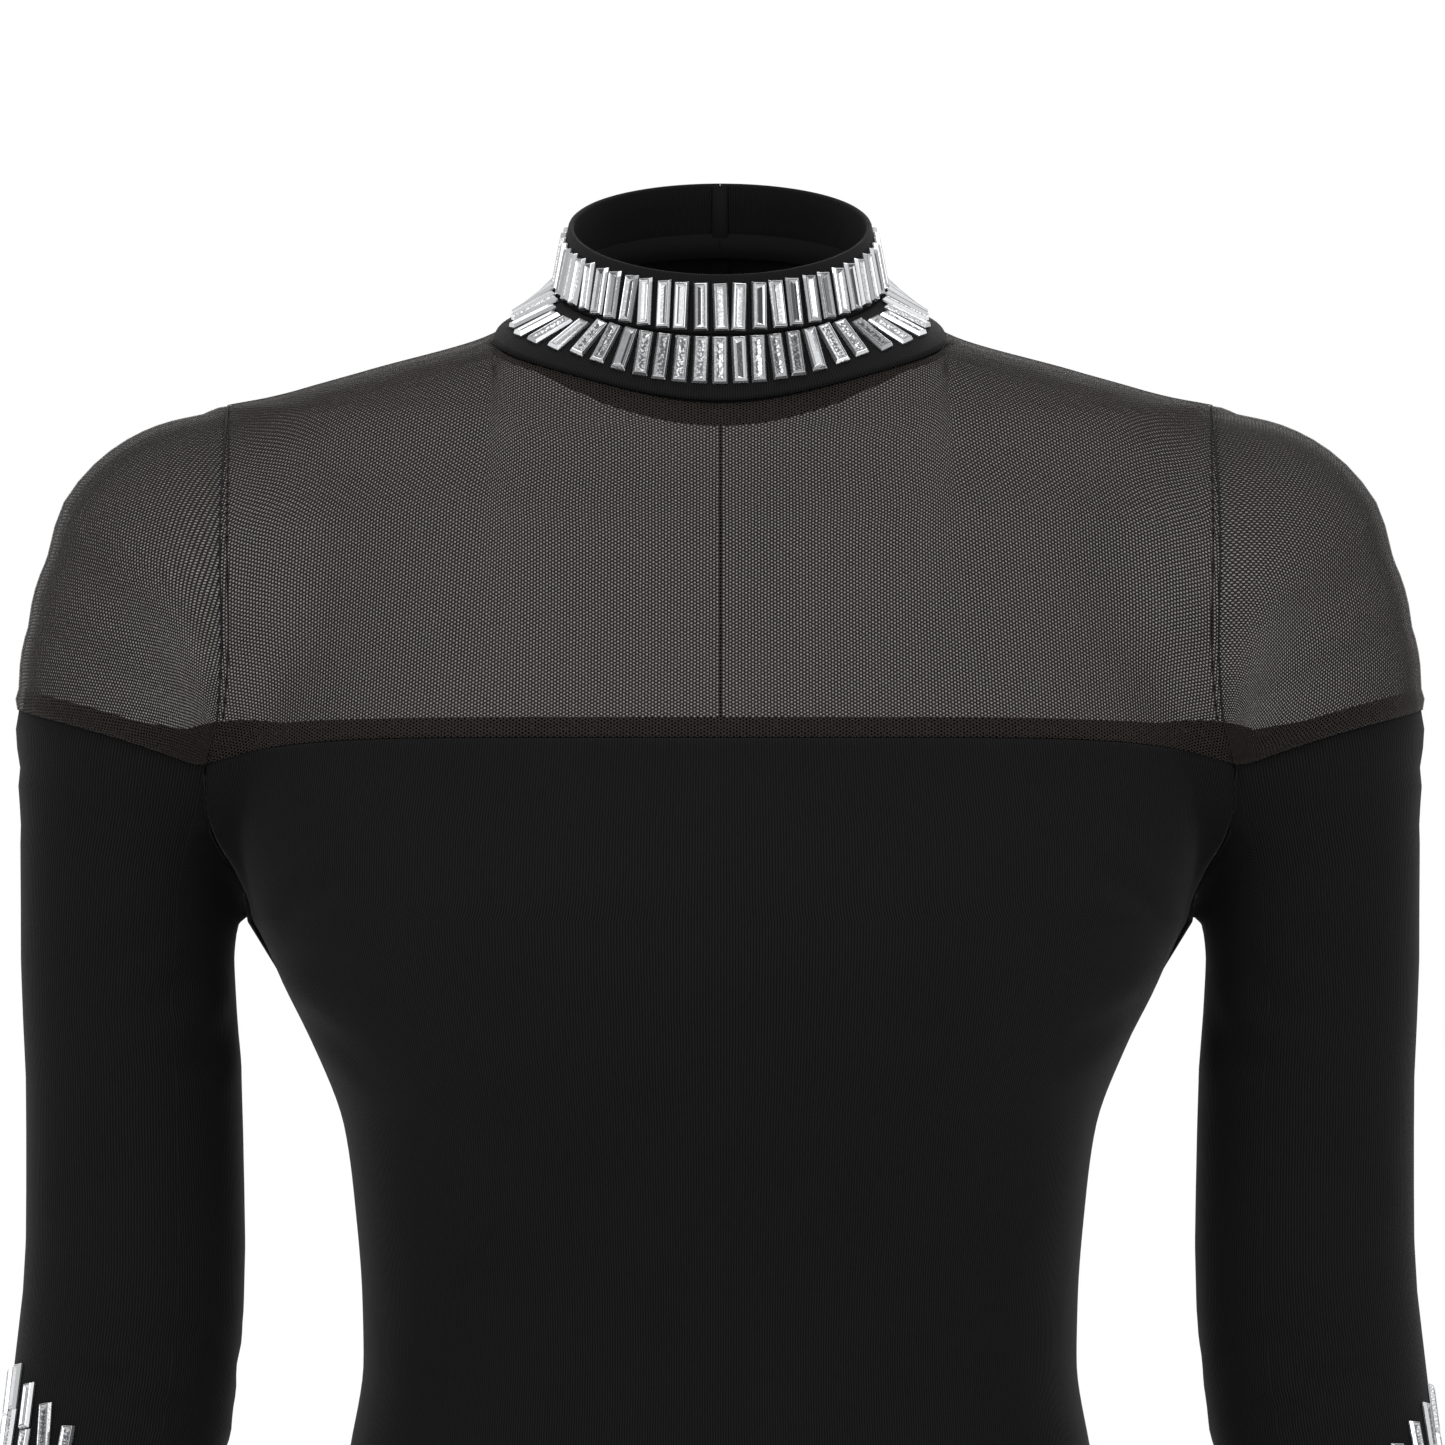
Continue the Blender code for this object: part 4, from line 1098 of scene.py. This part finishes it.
def stone_parts(centre, along, up, size, rng, foil):
    """One step-cut stone with its facets' painted reflections and shade: a girdle, a slanted rim and a long hipped
    hollow.
    """
    across = unit(np.cross(along, up))
    up = np.cross(across, along)
    half = np.array(size) / 2

    def ring(shrink, height):
        return [
            centre + s * (half[0] - shrink) * across + t * (half[1] - shrink) * along + height * up
            for s, t in ((-1, -1), (1, -1), (1, 1), (-1, 1))
        ]

    points = ring(0.0, 0.0) + ring(0.0, STONE_GIRDLE) + ring(STONE_RIM, STONE_TOP)
    points += ring(STONE_RIM + STONE_LEDGE, STONE_TOP) + ring(half[0] * 0.62, STONE_TOP - STONE_ROOF)
    ridge = half[1] - half[0] * 0.9
    shift = rng.uniform(-0.25, 0.25) * half[0]
    for end in (-ridge, ridge):
        points.append(centre + shift * across + end * along + (STONE_TOP - STONE_STEP) * up)
    # Painted reflection and shade of each face, as a level: dark table and ledge, light slanted rim, brighter or
    # duller per stone
    faces, shades, cracked = [(3, 2, 1, 0)], [0.1], [0.0]
    bright = rng.uniform(0.75, 1.0)
    for low, shade, crack in ((0, 0.50, 0.0), (4, 0.80, 0.1), (8, 0.10, 0.0), (12, 0.70, 0.5)):
        for k in range(4):
            n = (k + 1) % 4
            faces.append((low + k, low + n, low + 4 + n, low + 4 + k))
            shades.append(bright * shade * rng.uniform(0.55, 1.25))
            cracked.append(crack * foil)
    # Painted reflections on the long faces of the hollow: greys on the more foiled stones, white and black on the
    # others
    if foil > FOILED:
        hollow_reflection = rng.choice((0.30, 0.55, 0.75, 0.95), 2, p=(0.22, 0.32, 0.28, 0.18))
    else:
        hollow_reflection = rng.choice((0.03, 0.45, 0.85, 1.0), 2, p=(0.30, 0.16, 0.20, 0.34))
    hollow = ((16, 17, 20), 0.7), ((17, 18, 21, 20), hollow_reflection[0]), ((18, 19, 21), 0.85), ((19, 16, 20, 21), hollow_reflection[1])
    for face, shade in hollow:
        faces.append(face)
        shades.append(shade * rng.uniform(0.7, 1.1))
        cracked.append(foil)
    return np.array(points), faces, shades, cracked


def stones(name, places, look):
    """All stones of one row or sleeve as one mesh. places holds centre, along, up, size, generator and foil."""
    parts, shades, cracked = [], [], []
    for place in places:
        points, faces, shade, crack = stone_parts(*place)
        parts.append((points, faces))
        shades += shade
        cracked += crack
    piece = mesh_piece(name, *joined(parts), look, smooth=False)
    # Per face: its painted reflection level, and how cracked its foil is
    for key, values in (("facet", shades), ("foil", cracked)):
        layer = piece.data.attributes.new(key, "FLOAT", "FACE")
        layer.data.foreach_set("value", np.clip(np.array(values, np.float32), 0.0, 1.0))
    edge = piece.modifiers.new("edges", "BEVEL")
    edge.width = STONE_BEVEL
    edge.segments = 1
    edge.limit_method = "ANGLE"
    edge.angle_limit = math.radians(25)
    return worn(piece)


def neck_ring(radius, levels):
    """A ring round the neck at the given levels, as a function of the turn round it."""

    def ring(angle):
        points = radius * neck_way(angle)
        points[:, 1] += NECK_Y
        points[:, 2] = around_neck(levels, angle)
        return points

    return ring


groove_ring = neck_ring(GROOVE_RADIUS, GROOVE)
top_ring = neck_ring(TOP_RADIUS, COLLAR_TOP)


def rim_ring(angle):
    line = neckline(angle)
    line = line + RIM_RISE * unit(slope_of(figure, line))
    line[:, 2] += RIM_LIFT
    return line


def collar_frame(angle, low, high):
    bottom, top = low(angle), high(angle)
    slant = unit(top - bottom)
    ahead = unit(low(angle + 0.002) - low(angle - 0.002))
    return bottom, top, slant, unit(np.cross(ahead, slant))


def band_profile():
    """Round the band's section: which edge or flat, place up it and place through the wall."""
    quarters = np.radians(np.arange(-90, 91, 30))
    profile = [("low", -math.cos(a), math.sin(a)) for a in quarters]
    profile += [("flat", share, 1.0) for share in (0.25, 0.5, 0.75)]
    profile += [("high", math.cos(a), math.sin(a)) for a in quarters[::-1]]
    return profile + [("flat", share, -1.0) for share in (0.66, 0.33)]


def collar_band(name, low, high, look, lip):
    """A band round the neck with rounded edges, open at the back. lip swells its lower edge."""
    turn = math.pi - CLOSED_SLIT / GROOVE_RADIUS
    angle = np.linspace(-turn, turn, 481)
    bottom, top, slant, normal = collar_frame(angle, low, high)
    height = np.linalg.norm(top - bottom, axis=1)
    radius = BAND_WALL / 2
    rings, cloth = [], []
    around = lengths(bottom * 0.5 + top * 0.5)
    for kind, first, second in band_profile():
        swell = lip if kind == "low" else 1.0
        places = {"low": radius * lip * (1 + first), "high": height - radius * (1 - first), "flat": height * first}
        place = np.broadcast_to(places[kind], height.shape)
        out = radius * (second - 1) + radius * (swell - 1) * 2 * max(second, 0)
        rings.append(bottom + place[:, None] * slant + out * normal)
        cloth.append(np.stack([around, place], axis=1))
    count = len(rings)
    points, uv = (np.array(values).transpose(1, 0, 2) for values in (rings, cloth))
    faces = [face[:1] + face[:0:-1] for face in grid_faces(len(angle), count, True)]
    faces += tube_ends(len(angle), count)
    return mesh_piece(name, points.reshape(-1, 3), faces, look, uv.reshape(-1, 2))


def collar_lining(look):
    """Tape inside the collar: over the joint of its tiers, behind the closed slit and over the neck seam."""
    angle = np.linspace(-math.pi, math.pi, 361)
    groove = groove_ring(angle)
    inward = unit(neck_way(angle))
    round_tape = []
    for rise in ROUND_TAPE:
        ring = groove - (BAND_WALL + 0.0006 + 0.10 * abs(rise)) * inward
        ring[:, 2] += rise
        round_tape.append(ring)
    back = math.pi + np.array(SLIT_TAPE)
    slit_tape = []
    for low, high, shares in ((rim_ring, groove_ring, (0.02, 0.98)), (groove_ring, top_ring, (0.02, 0.97))):
        bottom, top, slant, normal = collar_frame(back, low, high)
        normal = normal * np.sign((normal * inward[:1]).sum(1))[:, None]
        for share in shares:
            slit_tape.append(bottom * (1 - share) + top * share - BEHIND_BAND * normal)
    bottom, top, slant, normal = collar_frame(angle, rim_ring, groove_ring)
    normal = normal * np.sign((normal * inward).sum(1))[:, None]
    line = neckline(angle)
    below = settled(line - NECK_TAPE * square_to(line, 2))
    neck_tape = (
        bottom + 2 * NECK_TAPE * slant - BEHIND_BAND * normal,
        line - 0.0016 * unit(slope_of(figure, line)),
        below - 0.0010 * unit(slope_of(figure, below)),
    )
    points, faces = joined(map(as_strip, (round_tape, slit_tape, neck_tape)))
    piece = mesh_piece("collar_lining", points, faces, look, points[:, ::2])
    thickened(piece, LINING_THICK, offset=0.0)
    return worn(piece)


def leaned(way, across, angle):
    return way * math.cos(angle) + across * math.sin(angle)


def collar_stones(name, low, high, pitch, side, margin, look, seed, foil):
    rng = np.random.default_rng(seed)
    places = []
    slips = np.radians(rng.uniform(-COLLAR_SLIP, COLLAR_SLIP, 2 * side + 1))
    frames = collar_frame(np.arange(-side, side + 1) * pitch + slips, low, high)
    for bottom, top, slant, normal in zip(*frames):
        reach = np.linalg.norm(top - bottom)
        long = min(STONE[1], reach - 4 * EDGE_ROOM)
        room = reach - long - 3 * EDGE_ROOM
        size = (STONE[0] * rng.uniform(0.95, 1.03), long * rng.uniform(0.985, 1.005))
        across = np.cross(slant, normal)
        along = leaned(slant, across, math.radians(rng.uniform(-COLLAR_LEAN, COLLAR_LEAN)))
        centre = bottom + (min(margin, room) + long / 2 + EDGE_ROOM) * slant + STONE_LIFT * normal
        tips = [rng.uniform(-most, most) for most in COLLAR_TIP]
        tip = unit(normal + tips[0] * across + tips[1] * slant)
        tip = unit(tip - (tip @ along) * along)
        places.append((centre, along, tip, size, rng, foil if rng.uniform() < 0.75 else 0.15))
    return stones(name, places, look)


# Sleeve stones: column's turn to the front of outward in degrees, and where it starts down the arm
LEFT_COLUMNS = (
    (-36, 0.2990), (-21.6, 0.2900), (-7.2, 0.2810), (6.5, 0.2725),
    (22, 0.2722), (36.5, 0.2812), (51, 0.2902), (65, 0.2990),
)
RIGHT_COLUMNS = (
    (-52, 0.3080), (-37, 0.2990), (-22.5, 0.2900), (-7.5, 0.2812),
    (7, 0.2784), (22, 0.2872), (36.5, 0.2960), (51, 0.3050),
)
STONE_PITCH = 0.0175
LAST_STONE = 0.4995


def sleeve_stones(name, columns, look, seed, mirror):
    rng = np.random.default_rng(seed)
    spots = []
    for degrees, start in columns:
        along = start + STONE[1] / 2
        while along + STONE[1] / 2 < LAST_STONE:
            spots.append((along, math.radians(degrees + rng.uniform(-SLEEVE_SLIP, SLEEVE_SLIP))))
            along += STONE_PITCH * rng.uniform(0.985, 1.02)
    along, turn = np.array(spots).T
    above, at, below = (on_arm(along + step, turn) for step in (-0.003, 0.0, 0.003))
    normals = unit(slope_of(figure, at))
    places = []
    for way, centre, normal in zip(unit(above - below), at + 2 * STONE_LIFT * normals, normals):
        way = leaned(way, np.cross(way, normal), math.radians(rng.uniform(-SLEEVE_LEAN, SLEEVE_LEAN)))
        if mirror:
            centre, way, normal = map(mirrored, (centre, way, normal))
        size = (STONE[0] * rng.uniform(0.93, 1.0), STONE[1] * rng.uniform(0.96, 0.99))
        places.append((centre, way, normal, size, rng, 1.0 if rng.uniform() < 0.7 else 0.2))
    return stones(name, places, look)


# Stage


def stage_and_lights():
    world = bpy.context.scene.world or bpy.data.worlds.new("studio")
    bpy.context.scene.world = world
    world.use_nodes = True
    sky = world.node_tree.nodes["Background"]
    sky.inputs[0].default_value = (1.0, 1.0, 1.0, 1.0)
    sky.inputs[1].default_value = 1.0
    look, tree, shader = material("pale_floor", 0.8)
    grain = noise(tree, object_place(tree), 3.0, 2.0)
    painted(tree, shader, grain, (0.3, (0.84, 0.84, 0.84)), (0.7, (0.88, 0.88, 0.88)))
    turn = np.linspace(0, 2 * math.pi, 97)[:-1]
    rim = [(FLOOR_RADIUS * math.cos(t), FLOOR_RADIUS * math.sin(t), FLOOR_Z) for t in turn]
    mesh_piece("floor", rim, [tuple(range(96))], look, smooth=False)
    lamps = (
        ("key", (-1.6, -2.0, 0.9), (0.0, 0.0, -0.25), 1.4, 16.0),
        ("fill", (1.8, -1.8, 0.5), (0.0, 0.0, -0.25), 1.6, 11.0),
        ("top", (0.0, -0.3, 2.0), (0.0, 0.0, -0.2), 1.2, 9.0),
        ("back", (0.3, 2.4, 0.8), (0.0, 0.0, -0.3), 1.6, 12.0),
    )
    for name, place, target, size, power in lamps:
        data = bpy.data.lights.new(name, "AREA")
        data.shape = "DISK"
        data.size = size
        data.energy = power
        lamp = linked(name, data)
        lamp.location = place
        lamp.rotation_euler = (Vector(target) - Vector(place)).to_track_quat("-Z", "Y").to_euler()


def camera():
    bpy.context.scene.view_settings.view_transform = "Standard"
    data = bpy.data.cameras.new("camera")
    data.sensor_width = SENSOR
    data.lens = SENSOR * CAMERA_AWAY / (PHOTO_PIXELS * PIXEL)
    data.clip_start, data.clip_end = 0.05, 50.0
    made = linked("camera", data)
    made.location = (PHOTO_MIDDLE[0], -CAMERA_AWAY, PHOTO_MIDDLE[1])
    made.rotation_euler = (math.pi / 2, 0.0, 0.0)
    bpy.context.scene.camera = made


# The dress: its sheets


def sheet(name, replaced, grid, cloth, look, kind, flat, sewn_on=(), **shape):
    """Makes a cloth in place of a CAD piece."""
    piece = worn(cloth_sheet(name, grid, cloth, look, kind, **shape), replaced)
    min(area_of(grid, shape.get("closed", False)), flat[0] * flat[1])


def jersey_sheets(front, back, arm, look):
    front_lines, back_lines = body_lines("front"), body_lines("back")
    shape = {"dip": "tlr", "turn": HEM_TURN}
    sewn_on = ("hem_stitching", "turning_side_right", "turning_side_left")
    place = cloth_coordinates(front, ACROSS // 2)
    flat = (0.36, 0.80)
    sheet("front_cloth", "front_panel", front, place, look, "jersey", flat, sewn_on, lines=front_lines, **shape)
    flat = (0.20, 0.80)
    place = cloth_coordinates(back, back.shape[1] - 1)
    for (side, grid), place in zip(both_sides(back), (place, place * np.array([-1.0, 1.0]))):
        names = f"back_cloth_{side}", f"back_panel_{side}"
        sheet(*names, grid, place, look, "jersey", flat, lines=back_lines, **shape)
    place = cloth_coordinates(arm, closed=True)
    shape = {"closed": True, "dip": "t", "turn": CUFF_TURN}
    flat = (0.29, 0.46)
    for (side, grid), seed in zip(both_sides(arm), (11, 23)):
        lines = sleeve_lines(seed)
        if side == "left":
            lines = [(mirrored(line), *size) for line, *size in lines]
        sewn_on = (f"cuff_stitching_{side}", f"sleeve_stones_{side}")
        names = f"sleeve_cloth_{side}", f"sleeve_{side}"
        sheet(*names, grid, place, look, "jersey", flat, sewn_on, lines=lines, **shape)


def net_sheets(yoke_front, yoke_back, cap, looks):
    def place_of(grid, middle):
        """Measured up from the grid's lower edge."""
        return cloth_coordinates(grid[::-1], middle, keep=0.8)[::-1]

    place = place_of(yoke_front, ACROSS // 2)
    flat = (0.36, 0.17)
    sewn_on = ("shoulder_seam_right", "shoulder_seam_left", "turning_front", "neck_facing")
    sheet("yoke_front_net", "yoke_front", yoke_front, place, looks["net"], "net", flat, sewn_on, dip="tblr")
    place = place_of(yoke_back, yoke_back.shape[1] - 1)
    flat = (0.20, 0.19)
    for side, grid in both_sides(yoke_back):
        names = f"yoke_back_net_{side}", f"yoke_back_{side}"
        sewn_on = (f"turning_back_{side}", f"zip_tape_{side}")
        sheet(*names, grid, place, looks["cross_net"], "net", flat, sewn_on, dip="tblr")
    place = place_of(cap, cap.shape[1] // 2)
    flat = (0.26, 0.13)
    for side, grid in both_sides(cap):
        names = f"cap_net_{side}", f"sleeve_cap_{side}"
        sewn_on = (f"armhole_seam_{side}", f"turning_sleeve_{side}")
        sheet(*names, grid, place, looks[f"cap_{side}"], "net", flat, sewn_on, dip="tb", swell=SWELL)


def patch(line, both_ends=True):
    """What the turning is higher beside the junctions."""
    away = lengths(line)
    if both_ends:
        return PATCH * np.maximum(0, 1 - np.minimum(away, away[-1] - away) / PATCH_REACH) ** 1.3
    return PATCH * np.maximum(0, 1 - away / PATCH_REACH)


def turnings(front, back_seam, cap_seam, back_middle, look):
    line = front[0]
    heights = np.interp(line[:, 0], *np.array(FRONT_TURNING).T) + patch(line)
    turning("turning_front", line, square_to(line, 2), heights, look)
    for name, seam, both_ends in (("back", back_seam, False), ("sleeve", cap_seam, True)):
        for side, line in both_sides(seam):
            turning(f"turning_{name}_{side}", line, square_to(line, 2), TURNING + patch(line, both_ends), look)
    angle = np.linspace(-FACING_REACH, FACING_REACH, 81)
    line = neckline(angle)
    heights = FACING[0] + FACING[1] * (1 - np.abs(angle / FACING_REACH) ** 3)
    turning("neck_facing", line, -square_to(line, 2), heights, look)
    collar_lining(look)
    seam = front[ARMHOLE_STEPS + 2 :, 0]
    seam = seam[seam[:, 2] > HEM_Z + HEM_TURN + 0.002]
    wide = np.full(len(seam), SIDE_TURNING)
    for side, line in both_sides(seam):
        turning(f"turning_side_{side}", line, square_to(line, 1), wide, look, -SIDE_TURNING)
    count = len(back_middle)
    for side, sideways in both_sides(np.tile((1.0, 0.0, 0.0), (count, 1))):
        turning(f"zip_tape_{side}", back_middle, sideways, np.full(count, TAPE_WIDTH), look, 0.0)


def collar(look, glass):
    tiers = (
        ("upper", groove_ring, top_ring, 1.0, ("collar_stones_upper", "collar_lining")),
        ("lower", rim_ring, groove_ring, 1.15, ("collar_stones_lower",)),
    )
    angle = np.linspace(-math.pi, math.pi, 181)
    for name, low, high, lip, sewn_on in tiers:
        piece = worn(collar_band(f"collar_band_{name}", low, high, look, lip), f"collar_{name}")
        edges = np.array([low(angle), high(angle)])
        flat = (float(lengths(edges.mean(0))[-1]), float(np.linalg.norm(edges[1] - edges[0], axis=1).max()))
        min(area_of(edges), flat[0] * flat[1])
    upper = (UPPER_PITCH, UPPER_SIDE, UPPER_MARGIN, glass, 5, 0.35)
    collar_stones("collar_stones_upper", groove_ring, top_ring, *upper)
    lower = (LOWER_PITCH, LOWER_SIDE, LOWER_MARGIN, glass, 8, 1.0)
    collar_stones("collar_stones_lower", rim_ring, groove_ring, *lower)


def main():
    camera()
    stage_and_lights()
    jersey = jersey_material()
    nets = {
        "net": net_material("stretch_net", 0),
        "cross_net": net_material("stretch_net_cross", 30),
        "cap_right": net_material("stretch_net_cap_right", 15),
        "cap_left": net_material("stretch_net_cap_left", 38),
    }
    tape = tape_material()
    band = band_material()
    glass = stone_material()
    thread = thread_material()
    metal = metal_material()

    parts = split_armhole()
    front, back = jersey_grids(parts)
    back_right = back[:, : (ACROSS + 1) // 2].copy()
    back_right[:, -1, 0] = 0.0
    yoke_front, yoke_back, shoulder = net_grids(parts, front[0], back_right[0])
    arm = sleeve_grid(parts)
    jersey_sheets(front, back_right, arm, jersey)
    net_sheets(yoke_front, yoke_back, cap_grid(parts), nets)
    turnings(front, back_right[0], sleeve_seam(parts), yoke_back[:, -1], tape)

    for (side, armhole), (_, seam) in zip(both_sides(over_armhole(parts)), both_sides(shoulder)):
        seam_cord(f"armhole_seam_{side}", armhole, thread)
        seam_cord(f"shoulder_seam_{side}", seam, thread)
    stitched("hem_stitching", [grid[k] for grid in (front, back) for k in STITCHED_ROWS], thread)
    for side, sleeve in both_sides(ring_of(arm, True)):
        stitched(f"cuff_stitching_{side}", [sleeve[k] for k in STITCHED_ROWS], thread)

    collar(band, glass)
    for side, columns, seed in (("right", RIGHT_COLUMNS, 31), ("left", LEFT_COLUMNS, 47)):
        sleeve_stones(f"sleeve_stones_{side}", columns, glass, seed, side == "left")
    for name in ("zip_slider", "zip_pull"):
        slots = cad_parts[name].data.materials
        for k in range(len(slots)):
            slots[k] = metal


main()
